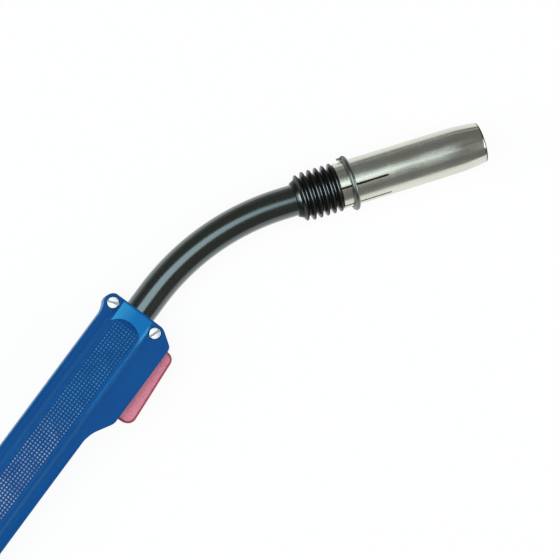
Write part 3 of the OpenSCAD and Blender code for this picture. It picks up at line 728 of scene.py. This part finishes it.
# %% Chambers, bores and the trigger's space
WALL, LID, UNDER = 2.4, 10.2, -3
for start, end in ((19, 60), (66, 82), (90, 124), (132, FRONT - 12)):
    combine(half, block("chamber", (start, BELLY + WALL, UNDER), (end, SPINE - WALL, LID), soft=2.2))
for name, start, end, radius in (("neck_bore", 123, FRONT + 1, 9.06), ("cable_bore", -1, 20, 11.8),
                                 ("block_bore", 52, 68, 11.1), ("nut_bore", 80, 92, 12.85)):
    combine(half, rod(name, (start, 0, 0), (end, 0, 0), radius, 64))
space_line = [(171.5, -23.3), (171.5, -17.4), (167.5, -17.4), (167.5, -11.5), (109, -11.5), (109, -14.3)]
space = draw_line("trigger_space", [(x, y, UNDER) for x, y in space_line + [(123, -23.3)]])
pick_all()
push(0, 0, 12.4)
tidy_skin()
leave()
combine(half, space)
print("chambers cut:", len(half.data.polygons), "faces")

# %% Slot with a softened mouth
SLOT_REAR, SLOT_FRONT, SLOT_HALF, FLARE = 122.8, 171.4, 6.8, 0.5
slot_length, slot_width = SLOT_FRONT - SLOT_REAR, 2 * SLOT_HALF
slot = block("trigger_slot", (SLOT_REAR, KEEL - 1.2, -SLOT_HALF), (SLOT_FRONT, -22.0, SLOT_HALF))
edit(slot)
pick("FACE", lambda m, f: m.y < KEEL - 1.1)
shift(0, 1.6, 0)
push(0, -FLARE, 0)
wider = ((slot_length + 2 * FLARE) / slot_length, 1, (slot_width + 2 * FLARE) / slot_width)
bpy.ops.transform.resize(value=wider, center_override=mm((SLOT_REAR + SLOT_FRONT) / 2, 0, 0))
push(0, -2, 0)
tidy_skin()
leave()
combine(half, slot)
combine(half, rod("pin_hole", (*PIN, UNDER), (*PIN, 10.6), PIN_BORE, 24))
print("slot cut:", len(half.data.polygons), "faces")

# %% Sunk panel for the grip
PANEL_REAR, panel_floor = 34, BAND_TOP - PANEL_DEPTH


def follow_nose(x):
    """Lowers what is selected as far as the nose has sloped down at a place along the handle."""
    shift(0, 0, -(x - NOSE) * NOSE_DROP / (FRONT - NOSE))


bow_half = math.degrees(math.asin(PANEL / BOW))
panel_line = [(PANEL_REAR, BAND_MIDDLE - PANEL)] + arc(BOW_MIDDLE, BOW, -bow_half, bow_half, 16)
panel_line += [(PANEL_REAR, BAND_MIDDLE + PANEL)]
panel = draw_line("panel", [(x, y, panel_floor) for x, y in panel_line])
for side in (-PANEL, PANEL):
    pick("VERT", near((PANEL_REAR, BAND_MIDDLE + side, panel_floor)))
    bevel(1.5, 4, "VERTICES")
pick_all()
push(0, 0, 3)
crease_at_nose()
places = pick("VERT", lambda m, v: m.z < panel_floor + 0.1 and m.x > NOSE + 0.01)
for x in sorted({round(m.x, 3) for m in places}):
    pick("VERT", lambda m, v: m.z < panel_floor + 0.1 and abs(m.x - x) < 0.002)
    follow_nose(x)
tidy_skin()
leave()
combine(half, panel)
print("panel sunk:", len(half.data.polygons), "faces")

# %% Two shells from one half
HEAD_SEAT, SHANK_HOLE, SINK = 10.3, 2.1, 3.6
near_shell, far_shell = copied(half, "shell_near"), copied(half, "shell_far", mirrored=True)
bpy.data.objects.remove(half)
sink_line = [(-1, 0), (-1, SHANK_HOLE), (HEAD_SEAT, SHANK_HOLE), (HEAD_SEAT, SINK), (12.6, SINK)]
sink_line += [(12.95, 3.95), (17, 3.95), (17, 0)]
for x, y in SCREWS:
    sink = lathe("sink", sink_line, steps=40)
    put(sink, (0, math.radians(-90), 0), mm(x, y, 0))
    combine(near_shell, sink)
    combine(far_shell, rod("shank_hole", (x, y, 1), (x, y, -12), SHANK_HOLE, 24))
    combine(far_shell, rod("nut_pocket", (x, y, -9.5), (x, y, -17), 4.16, 6))
for shell, solid in ((near_shell, "handle_shell_near"), (far_shell, "handle_shell_far")):
    clean(shell)
    soften(shell, 32, weighted=True)
    dress(shell, "handle", "blue_shell", blue_shell, solid)

# %% [markdown]
# ## Grip studs
# The sunk panels on both sides are covered with rows of small blunt studs that keep a glove from slipping.
# One stud is a block with its top drawn in. Two array modifiers repeat it over the panel, and studs that
# would stand past the rounded front end are deleted. So many copies stay cheap when each has only six
# faces.

# %% Stud finish
def stud_plastic():
    material, tree, shader, place = skin("worn studs", {"Specular IOR Level": 0.06})
    grains = use(tree, mould_grain, place, Scale=1800.0)
    film = use(tree, handling, place, Scale=90.0)
    parts = split(tree, place)
    height = math_step(tree, "ABSOLUTE", (parts, "Z"))
    top = ranged(tree, height, 15.95 * MM, 16.35 * MM)
    rearward = ranged(tree, (parts, "X"), 122 * MM, 76 * MM)
    patch = ranged(tree, (film, "Mask"), 0, 1, 0.3, 1.0)
    colour = tint(tree, (grains, "Mottle"), (0.004, 0.064, 0.225), (0.007, 0.078, 0.25))
    rubbed = tint(tree, rearward, (0.05, 0.235, 0.41), (0.3, 0.36, 0.46))
    colour = tint(tree, times(tree, top, patch), colour, rubbed)
    paint(shader, colour, gloss(tree, film, 0.45, 0.65))
    bump(shader, (grains, "Height"), 0.4, 0.015)
    return material


worn_studs = stud_plastic()

# %% Rows of studs
PITCH, ROWS, COLUMNS = 1.9, 8, 71
STUD_HALF, STUD_FOOT, STUD_TOP = 0.72, 15.35, BAND_TOP - 0.12
FIRST = (35.7, BAND_MIDDLE - (ROWS - 1) / 2 * PITCH)
low, high = ([v + step for v in FIRST] for step in (-STUD_HALF, STUD_HALF))
stud = block("studs_near", (*low, STUD_FOOT), (*high, STUD_TOP))
edit(stud)
pick("FACE", lambda m, f: m.z > STUD_TOP - 0.1)
bpy.ops.transform.resize(value=(0.6, 0.6, 1), center_override=mm(*FIRST, STUD_TOP))
leave()
for count, step in ((COLUMNS, (PITCH, 0, 0)), (ROWS, (0, PITCH, 0))):
    use_modifier(stud, "ARRAY", count=count, use_relative_offset=False, use_constant_offset=True,
                 constant_offset_displace=mm(*step))


# %% Studs at the bowed end
def past_the_bow(m, part):
    column, row = (round((here - first) / PITCH) for here, first in zip((m.x, m.y), FIRST))
    x, y = FIRST[0] + column * PITCH, FIRST[1] + row * PITCH
    return x > BOW_MIDDLE[0] and math.hypot(x - BOW_MIDDLE[0], y - BOW_MIDDLE[1]) > BOW - 1.15


edit(stud)
beyond = pick("VERT", past_the_bow)
bpy.ops.mesh.delete(type="VERT")
for column in range(COLUMNS):
    x = FIRST[0] + column * PITCH
    if x > NOSE:
        pick("VERT", lambda m, v: abs(m.x - x) < PITCH / 2)
        follow_nose(x)
tidy_skin()
leave()
print("stud corners deleted:", len(beyond))

# %% Studs on both sides
for row in (stud, copied(stud, "studs_far", mirrored=True)):
    dress(row, "handle", "blue_shell", worn_studs)

# %% [markdown]
# ## Screws
# Two bright slotted screws hold the halves together. Each head is a short cylinder whose rim is rounded
# with a bevel, and whose bottom face is inset and pushed down to make the shank. The slot is cut with a
# block, turned another way on each screw because nobody lines them up.

# %% Screw finish
def zinc_plate():
    material, tree, shader, place = skin("bright screw", {"Metallic": 1.0})
    marks = use(tree, turning_lines, place, Scale=2500.0)
    film = use(tree, handling, place, Scale=300.0)
    # Painted shade: the slot's floor, the head's side below its top and the shank are darkened.
    painted_slot_shade = ranged(tree, (split(tree, place), "Z"), 11.9 * MM, 11.6 * MM)
    colour = tint(tree, (film, "Mask"), (0.59, 0.61, 0.605), (0.7, 0.72, 0.715))
    colour = tint(tree, painted_slot_shade, colour, (0.27, 0.275, 0.265))
    paint(shader, colour, gloss(tree, film, 0.42, 0.52))
    bump(shader, (marks, "Height"), 0.4, 0.01)
    return material


bright_screw = zinc_plate()
print("made", bright_screw.name)

# %% Both screws
HEAD_TOP, HEAD, SHANK, SHANK_LENGTH, SLOT_FLOOR = 12.7, 3.5, 2.0, 22.2, 11.55


def screw(name, x, y, degrees):
    head = rod(name, (x, y, HEAD_SEAT), (x, y, HEAD_TOP), HEAD, 48)
    edit(head)
    pick("EDGE", lambda m, e: all(v.co.z > (HEAD_TOP - 0.1) * MM for v in e.verts))
    bevel(0.7, 4)
    pick("FACE", lambda m, f: m.z < HEAD_SEAT + 0.1)
    bpy.ops.mesh.inset(thickness=(HEAD - SHANK) * MM)
    push(0, 0, -SHANK_LENGTH)
    bpy.ops.mesh.inset(thickness=0.4 * MM)
    shift(0, 0, -0.4)
    leave()
    slot_bar = block("slot_bar", (-4.5, -0.6, SLOT_FLOOR), (4.5, 0.6, 14))
    put(slot_bar, (0, 0, math.radians(degrees)), mm(x, y, 0))
    combine(head, slot_bar)
    return head


upper_screw = screw("screws", *SCREWS[0], 111)
lower_screw = screw("lower_screw", *SCREWS[1], -20)
work_on(upper_screw)
lower_screw.select_set(True)
bpy.ops.object.join()
soften(upper_screw, 35)
dress(upper_screw, "handle", "bright_screw", bright_screw, "handle_screws")

# %% [markdown]
# ## Trigger
# The trigger is a wedge-shaped bar in pinkish red plastic, deeper at its rear end, that swings on a pin
# near its front. It can be drawn in profile and extruded across. Its outer rim is rounded, two lips inside
# the housing keep it from dropping out, and a pad meets the switch. A wire spring behind it is a small ring
# screwed upward.

# %% Trigger finish, with a painted glare that makes the flat sides paler pink than the rim
def trigger_plastic_with_painted_glare():
    material, tree, shader, place = skin("pink trigger", {"Specular IOR Level": 0.2})
    grains = use(tree, mould_grain, place, Scale=1300.0)
    film = use(tree, handling, place, Scale=80.0)
    facing = split(tree, (place[0], "Normal"))
    # Painted glare: the flat sides are a paler pink, and the rounded rim keeps the deeper crimson.
    rim = ranged(tree, math_step(tree, "ABSOLUTE", (facing, "Z")), 0.998, 0.9)
    speckle = ranged(tree, (grains, "Height"), 0.35, 0.65)
    colour = tint(tree, speckle, (0.6, 0.18, 0.24), (0.71, 0.245, 0.305))
    deep = tint(tree, speckle, (0.29, 0.045, 0.08), (0.36, 0.06, 0.1))
    paint(shader, tint(tree, rim, colour, deep), gloss(tree, film, 0.42, 0.58))
    bump(shader, (grains, "Height"), 0.5, 0.02)
    return material


pink_trigger = trigger_plastic_with_painted_glare()

# %% Wedge, lips and hub
BAR_TOP, BAR_HALF, LIP_TOP, SPRING_X = -22.8, 6.5, -21.2, 128
bar_line = [(124.4, BAR_TOP), (125.1, -33.4), (169.6, -30.1), (170.9, BAR_TOP)]
bar = draw_line("trigger_bar", [(x, y, -BAR_HALF) for x, y in bar_line])
for corner, size in ((bar_line[1], 5.2), (bar_line[2], 3.4)):
    pick("VERT", near((*corner, -BAR_HALF)))
    bevel(size, 8, "VERTICES")
pick_all()
push(0, 0, 2 * BAR_HALF)
tidy_skin()
rim = pick("EDGE", lambda m, e: abs(abs(m.z) - BAR_HALF) < 0.01 and m.y < BAR_TOP - 0.1)
bevel(1.8, 6, clamp_overlap=False)
tidy_skin()
leave()
for left, right in ((5, 8.2), (-8.2, -5)):
    combine(bar, block("lip", (125, -23.2, left), (162, LIP_TOP, right), soft=0.3), "UNION")
combine(bar, block("plunger_pad", (152.5, -23.6, -3), (158.5, LIP_TOP, 3), soft=0.3), "UNION")
combine(bar, rod("hub", (*PIN, -BAR_HALF), (*PIN, BAR_HALF), 3.2, 32), "UNION")
combine(bar, rod("spring_stub", (SPRING_X, -23.8, 0), (SPRING_X, -20.2, 0), 1.6, 24), "UNION")
combine(bar, rod("pin_bore", (*PIN, -9), (*PIN, 9), PIN_BORE, 24))
clean(bar)
soften(bar, 35, weighted=True)
print("rim edges rounded:", len(rim))
dress(bar, "trigger", "pink_trigger", pink_trigger, "trigger")

# %% Return spring
WIRE, COIL, TURNS = 0.35, 2.4, 6
spring_low, spring_high = (corner[1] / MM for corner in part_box("trigger_spring"))
spring = draw_line("return_spring", [(COIL + a, b, 0) for a, b in circle((0, 0), WIRE, 10)], filled=False)
rise = (spring_high - spring_low - 2 * WIRE) / TURNS
use_modifier(spring, "SCREW", axis="Y", steps=24, iterations=TURNS, screw_offset=rise * MM)
edit(spring)
pick_all()
bpy.ops.mesh.fill_holes(sides=0)
tidy_skin()
leave()
put(spring, where=mm(SPRING_X, spring_low + WIRE, 0))
soften(spring, 50)
dress(spring, "handle", "spring_steel", inner["spring_steel"], "trigger_spring")
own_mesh(spring)

# %% [markdown]
# ## Rear collar
# A black ring screws onto the rear of both halves and closes on the cable. A lathe shape gives its rounded
# lips and groove, and a ring of scallops cut round it gives the fingers something to hold.

# %% Collar ring
collar_black = moulded(
    "collar ring black", (0.009, 0.009, 0.01), (0.017, 0.017, 0.018), edge=(0.06, 0.06, 0.06))
ring_line = [(0, 11.5), (0, 14.7), (0.35, 15.3), (1.0, 15.6), (3.2, 15.75), (3.7, 15.2), (4.5, 15.2)]
ring_line += [(5, 15.9), (5.4, 16), (14.9, 16), (15.6, 15.7), (16, 15.1), (16, 13.45), (5, 13.45), (5, 11.5)]
ring = lathe("collar_ring", ring_line, steps=96)
scallop = rod("scallop", (6.6, 16.35, 0), (13.8, 16.35, 0), 0.85, 12)
edit(scallop)
pick_all()
spin(28, dupli=True, use_auto_merge=False)
pick_all()
bpy.ops.mesh.remove_doubles(threshold=0.01 * MM)
leave()
print("scallop faces:", len(scallop.data.polygons))
combine(ring, scallop)
soften(ring, 35)
dress(ring, "handle", "black_ring", collar_black, "rear_collar")

# %% [markdown]
# ## Neck
# The swan neck is a bent tube under a glossy black sleeve. A circle extruded straight, spun through the
# bend and extruded again follows the same path as the solid, with enough rings for a smooth reflection, and
# Solidify gives it its wall. The gloss comes from a clear coat over a slightly rippled black.

# %% Sleeve finish
def glossy_sleeve():
    material, tree, shader, place = skin("glossy sleeve", {
        "IOR": 1.75, "Coat Weight": 1.0, "Coat Roughness": 0.18, "Specular Tint": (0.64, 0.95, 1.0, 1)})
    grains = use(tree, mould_grain, place, Scale=500.0)
    film = use(tree, handling, place, Scale=70.0)
    colour = tint(tree, (grains, "Mottle"), (0.0062, 0.005, 0.0006), (0.0086, 0.007, 0.0012))
    paint(shader, colour, gloss(tree, film, 0.16, 0.2))
    bump(shader, (grains, "Height"), 0.08, 0.02)
    return material


black_jacket = glossy_sleeve()

# %% Bent sleeve
NECK, NECK_REAR, BEND_START, BEND_RADIUS, NECK_TAIL = 9, 120, 190.8, 143, 17.4
clear_selection()
bpy.ops.mesh.primitive_circle_add(
    vertices=72, radius=NECK * MM, location=mm(NECK_REAR, 0, 0), rotation=(0, math.pi / 2, 0))
sleeve = named("neck_sleeve")
settle()
edit(sleeve)
pick_all()
push(BEND_START - NECK_REAR, 0, 0)
bpy.ops.mesh.spin(steps=48, angle=BEND, center=mm(BEND_START, -BEND_RADIUS, 0), axis=(0, 0, 1))
push(*(NOZZLE_WAY * NECK_TAIL))
tidy_skin()
leave()
end = max((v.co for v in sleeve.data.vertices), key=lambda c: c.x)
print("sleeve ends near", [round(v / MM, 1) for v in end])
use_modifier(sleeve, "SOLIDIFY", thickness=1.4 * MM, offset=-1)
soften(sleeve, 40)
dress(sleeve, "handle", "black_jacket", black_jacket, "neck_jacket")

# %% [markdown]
# ## Ribbed collar
# Between neck and nozzle sits a black moulded collar with six ribs that shed heat. Its profile is a row of
# round-topped teeth, and spinning it about the nozzle's axis makes all ribs at once. The first rib is a
# little lower than the others. Only the tops of the teeth are wiped shiny. The flanks stay dull, so less
# light comes off a slant.

# %% Rib finish
def ribbed_plastic():
    material, tree, shader, place = skin("ribbed black", {"IOR": 1.9, "Specular Tint": (0.8, 0.95, 1.0, 1)})
    grains = use(tree, mould_grain, place, Scale=1500.0)
    film = use(tree, handling, place)
    slant = node(tree, "ShaderNodeLayerWeight")
    level = ranged(tree, (slant, "Facing"), 0.02, 0.15, 1.0, 0.08)
    feed(level, shader, "Specular IOR Level")
    colour = tint(tree, (grains, "Mottle"), (0.005, 0.0055, 0.0045), (0.01, 0.0105, 0.009))
    paint(shader, colour, gloss(tree, film, 0.18, 0.25))
    bump(shader, (grains, "Height"), 0.5, 0.01)
    return material


ribbed_black = ribbed_plastic()
print("made", ribbed_black.name)

# %% Ribs by lathe
RIBS, RIB_STEP, FIRST_RIB, RIB_FRONT, SPIGOT = 6, 4, 4.2, 25.2, 56.5
rib_line = [(0, 9.05), (0, 9.6), (0.25, 9.9), (2.3, 10.95)]
for i in range(RIBS):
    c, top = FIRST_RIB + RIB_STEP * i, (13.3 if i == 0 else 14.0)
    flank = [(1.7, 11.0), (1.5, 11.2), (0.62, top - 0.6), (0.5, top - 0.28), (0.26, top - 0.06)]
    rib_line += [(c - half_width, radius) for half_width, radius in flank] + [(c, top)]
    rib_line += [(min(c + half_width, RIB_FRONT), radius) for half_width, radius in reversed(flank)]
rib_line = rib_line[:-2] + [(RIB_FRONT, 11.8), (RIB_FRONT, 9), (SPIGOT, 9), (SPIGOT, 7)]
rib_line += [(9.8, 7), (9.8, 9.05)]
ribs = lathe("ribbed_sleeve", rib_line, steps=96)
lay_on_nozzle(ribs)
soften(ribs, 50)
dress(ribs, "handle", "collar_black", ribbed_black, "ribbed_collar")

# %% [markdown]
# ## Gas nozzle
# The nozzle is a nickel-plated tube, slit at its rear so that it springs onto its seat, and drawn in
# slightly toward the mouth. Its wall is drawn as a closed profile and spun. A round-ended bar, turned to
# four places about the axis, cuts the slits. Fine turning lines, wiped streaks along the tube and a thin
# rim painted nearly black at the mouth keep the plating from looking like a mirror, and the part just behind
# the mouth is buffed smoother.

# %% Nickel finish
def nickel_plate():
    material, tree, shader, place = skin("nickel plate", {"Metallic": 1.0})
    laid = laid_along(tree, place, BEND)
    marks = use(tree, turning_lines, laid, Scale=2600.0)
    film = use(tree, handling, place, Scale=55.0)
    along = (split(tree, laid), "X")
    streaks = noise(tree, vector_step(tree, "MULTIPLY", laid, (0.05, 1, 1)), 450.0)
    wiped = ranged(tree, streaks, 0.3, 0.7)
    # The last millimetre at the mouth is painted nearly black.
    dark_mouth_rim = ranged(tree, along, 356.6 * MM, 357.5 * MM)
    colour = tint(tree, wiped, (0.63, 0.65, 0.56), (0.73, 0.75, 0.65))
    colour = tint(tree, dark_mouth_rim, colour, (0.02, 0.017, 0.014))
    polish = ranged(tree, math_step(tree, "ADD", wiped, (film, "Mask")), 0, 2, 0.2, 0.31)
    buffed = ranged(tree, along, 330 * MM, 356 * MM, 0, -0.095)
    paint(shader, colour, math_step(tree, "ADD", polish, buffed))
    bump(shader, (marks, "Height"), 0.12, 0.004)
    return material


nickel = nickel_plate()

# %% Nozzle wall
NOZZLE_REAR, RING, LENGTH, DRAWN_IN = 25.5, 7.4, 86.3, 68.0
SLITS, SLIT_END, SLIT_HALF = (100, 155, 280, 335), 28.0, 0.6
wall_line = [(0, 11.05), (0, 12.7), (0.3, 13.0)]
groove = ((-1.2, 13), (-0.8, 13), (-0.45, 12.88), (0, 12.84), (0.45, 12.88), (0.8, 13), (1.2, 13))
wall_line += [(RING + step, radius) for step, radius in groove]
wall_line += [(s, 13.0) for s in (12, 20, 30, 40, 50, 60, DRAWN_IN)]
drawn = ((3, 12.97), (5.5, 12.88), (8, 12.71), (10.5, 12.49), (13, 12.22), (15, 11.98), (16.8, 11.75))
wall_line += [(DRAWN_IN + step, radius) for step, radius in drawn]
lip = ((0.7, 11.62), (0.2, 11.35), (0, 10.9), (0, 9.6), (0.2, 9.2), (0.7, 9.0), (14, 9.0))
wall_line += [(LENGTH - back, radius) for back, radius in lip] + [(34, 11.05)]
nozzle = lathe("nozzle_tube", wall_line, steps=120)
for degrees in SLITS:
    slit_bar = block("slit_bar", (-1, 10, -SLIT_HALF), (SLIT_END, 17, SLIT_HALF))
    edit(slit_bar)
    pick("EDGE", lambda m, e: m.x > SLIT_END - 0.1 and abs(m.z) > SLIT_HALF - 0.1)
    bevel(0.55, 4)
    leave()
    put(slit_bar, (math.radians(degrees), 0, 0))
    combine(nozzle, slit_bar)
lay_on_nozzle(nozzle, NOZZLE_REAR)
soften(nozzle, 35)
dress(nozzle, "nozzle", "nickel", nickel, "gas_nozzle")

# %% Spring ring
RING_OPEN, RING_TURN = 10, 8
ring_steel = turned("ring steel", (0.12, 0.135, 0.13), (0.2, 0.215, 0.205), (0.25, 0.38), BEND)
wire = draw_line("spring_wire", [(a, r, 0) for a, r in circle((RING, 14.38), 1.5, 24)])
pick_all()
spin(110, 360 - RING_OPEN)
tidy_skin()
caps = pick("FACE", lambda m, f: len(f.verts) > 8)
bpy.ops.mesh.inset(thickness=0.35 * MM)
print("ring ends:", len(caps))
leave()
tail = rod("tail", (RING + 0.2, 14.7, 0.5), (RING - 3.8, 14.75, 0.5), 0.6, 16)
edit(tail)
pick("EDGE", lambda m, e: m.x < RING - 3.7)
bevel(0.35, 3)
leave()
combine(wire, tail, "UNION")
put(wire, (math.radians(RING_TURN), 0, 0))
lay_on_nozzle(wire, NOZZLE_REAR)
soften(wire, 40)
dress(wire, "nozzle", "spring_steel", ring_steel, "nozzle_ring")

# %% [markdown]
# ## Solids that stay
# The pieces inside the handle and behind the nozzle already have their right shape, so they keep their
# solids and only take a finish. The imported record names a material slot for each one, and the slot picks
# the finish.

# %% Finishes by slot
finishes = {
    **inner, "blue_shell": blue_shell, "black_ring": collar_black, "bright_screw": bright_screw,
    "pink_trigger": pink_trigger, "black_jacket": black_jacket, "collar_black": ribbed_black,
    "nickel": nickel}
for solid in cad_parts.values():
    solid.material_slots[0].material = finishes[solid.data.materials[0].name]
print("slots with a finish:", len(finishes))

# %% [markdown]
# ## Studio
# A white table, one large round lamp overhead and a soft lamp low on each side give long quiet highlights.
# The overhead lamp stands toward the rear, so its streak wanders along the bend of the neck. The table
# shows white to the camera and to glossy surfaces through the light path, and still takes the torch's
# shadow. Behind the torch it is dark in reflections only, as if the studio went on into shade there, which
# gives the metal its soft upper edge.

# %% Table
TABLE_SIZE, TABLE_MIDDLE, TABLE_GAP, GLOW = 8, 0.2, 0.0001, 0.92


def table_white():
    material, tree, shader, place = skin("table white")
    path = node(tree, "ShaderNodeLightPath")
    far = ranged(tree, vector_step(tree, "DOT_PRODUCT", place, (0.6, 0.8, 0)), 0.2, 0.26)
    dim = math_step(tree, "MULTIPLY", (path, "Is Glossy Ray"), far)
    mirrored = math_step(tree, "SUBTRACT", (path, "Is Glossy Ray"), dim)
    seen = math_step(tree, "MAXIMUM", (path, "Is Camera Ray"), mirrored)
    pale = tint(tree, noise(tree, place, 3), (0.86, 0.86, 0.86), (0.9, 0.9, 0.9))
    paint(shader, tint(tree, dim, pale, (0.15, 0.15, 0.15)), 0.9)
    glow = node(tree, "ShaderNodeEmission")
    share = math_step(tree, "MULTIPLY", seen, GLOW)
    both = fill(node(tree, "ShaderNodeMixShader"), {0: share, 1: (shader, 0), 2: (glow, 0)})
    feed((both, 0), tree.nodes["Material Output"], "Surface")
    return material


clear_selection()
bpy.ops.mesh.primitive_plane_add(size=TABLE_SIZE, location=(TABLE_MIDDLE, 0, cad_box[0].z - TABLE_GAP))
table_top = named("table")
settle()
table_top.data.materials.append(table_white())
print("table at", round(cad_box[0].z / MM, 2), "mm")

# %% Lamps
TORCH_MIDDLE, LAMP_AWAY = Vector((0.22, -0.04, 0)), 2.4


def soft_lamp(name, azimuth, elevation, size, radiance, shape="SQUARE"):
    """A lamp some degrees round and above the torch, whose face has the given radiance."""
    data = bpy.data.lights.new(name, "AREA")
    data.shape, data.size = shape, size
    data.energy = radiance * math.pi * size * size * (math.pi / 4 if shape == "DISK" else 1)
    lamp = bpy.data.objects.new(name, data)
    bpy.context.scene.collection.objects.link(lamp)
    round_it, above = math.radians(azimuth), math.radians(elevation)
    flat_way = Vector((math.cos(round_it), math.sin(round_it), 0))
    way = flat_way * math.cos(above) + Vector((0, 0, math.sin(above)))
    lamp.location = TORCH_MIDDLE + way * LAMP_AWAY
    lamp.rotation_mode = "QUATERNION"
    lamp.rotation_quaternion = way.to_track_quat("Z", "Y")
    lamp.visible_camera = False
    return lamp


key_lamp = soft_lamp("overhead", 136, 72, 2.6, 2.9, "DISK")
key_lamp.data.color = (0.86, 0.95, 1.0)
soft_lamp("right", -50, 30, 1.6, 3.5)
soft_lamp("left", 135, 34, 1.6, 1.6)

# %% World
SKY = 0.175
world = bpy.data.worlds.new("studio")
bpy.context.scene.world = world
world.use_nodes = True
tree = world.node_tree
background = tree.nodes["Background"]
looking = split(tree, (node(tree, "ShaderNodeTexCoord"), "Generated"))
feed(ranged(tree, (looking, "Z"), 0.0, 0.08, 1.0, SKY), background, "Strength")
feed((1, 1, 1, 1), background, "Color")
bpy.context.scene.view_settings.view_transform = "Standard"
print("world level falls to", SKY)
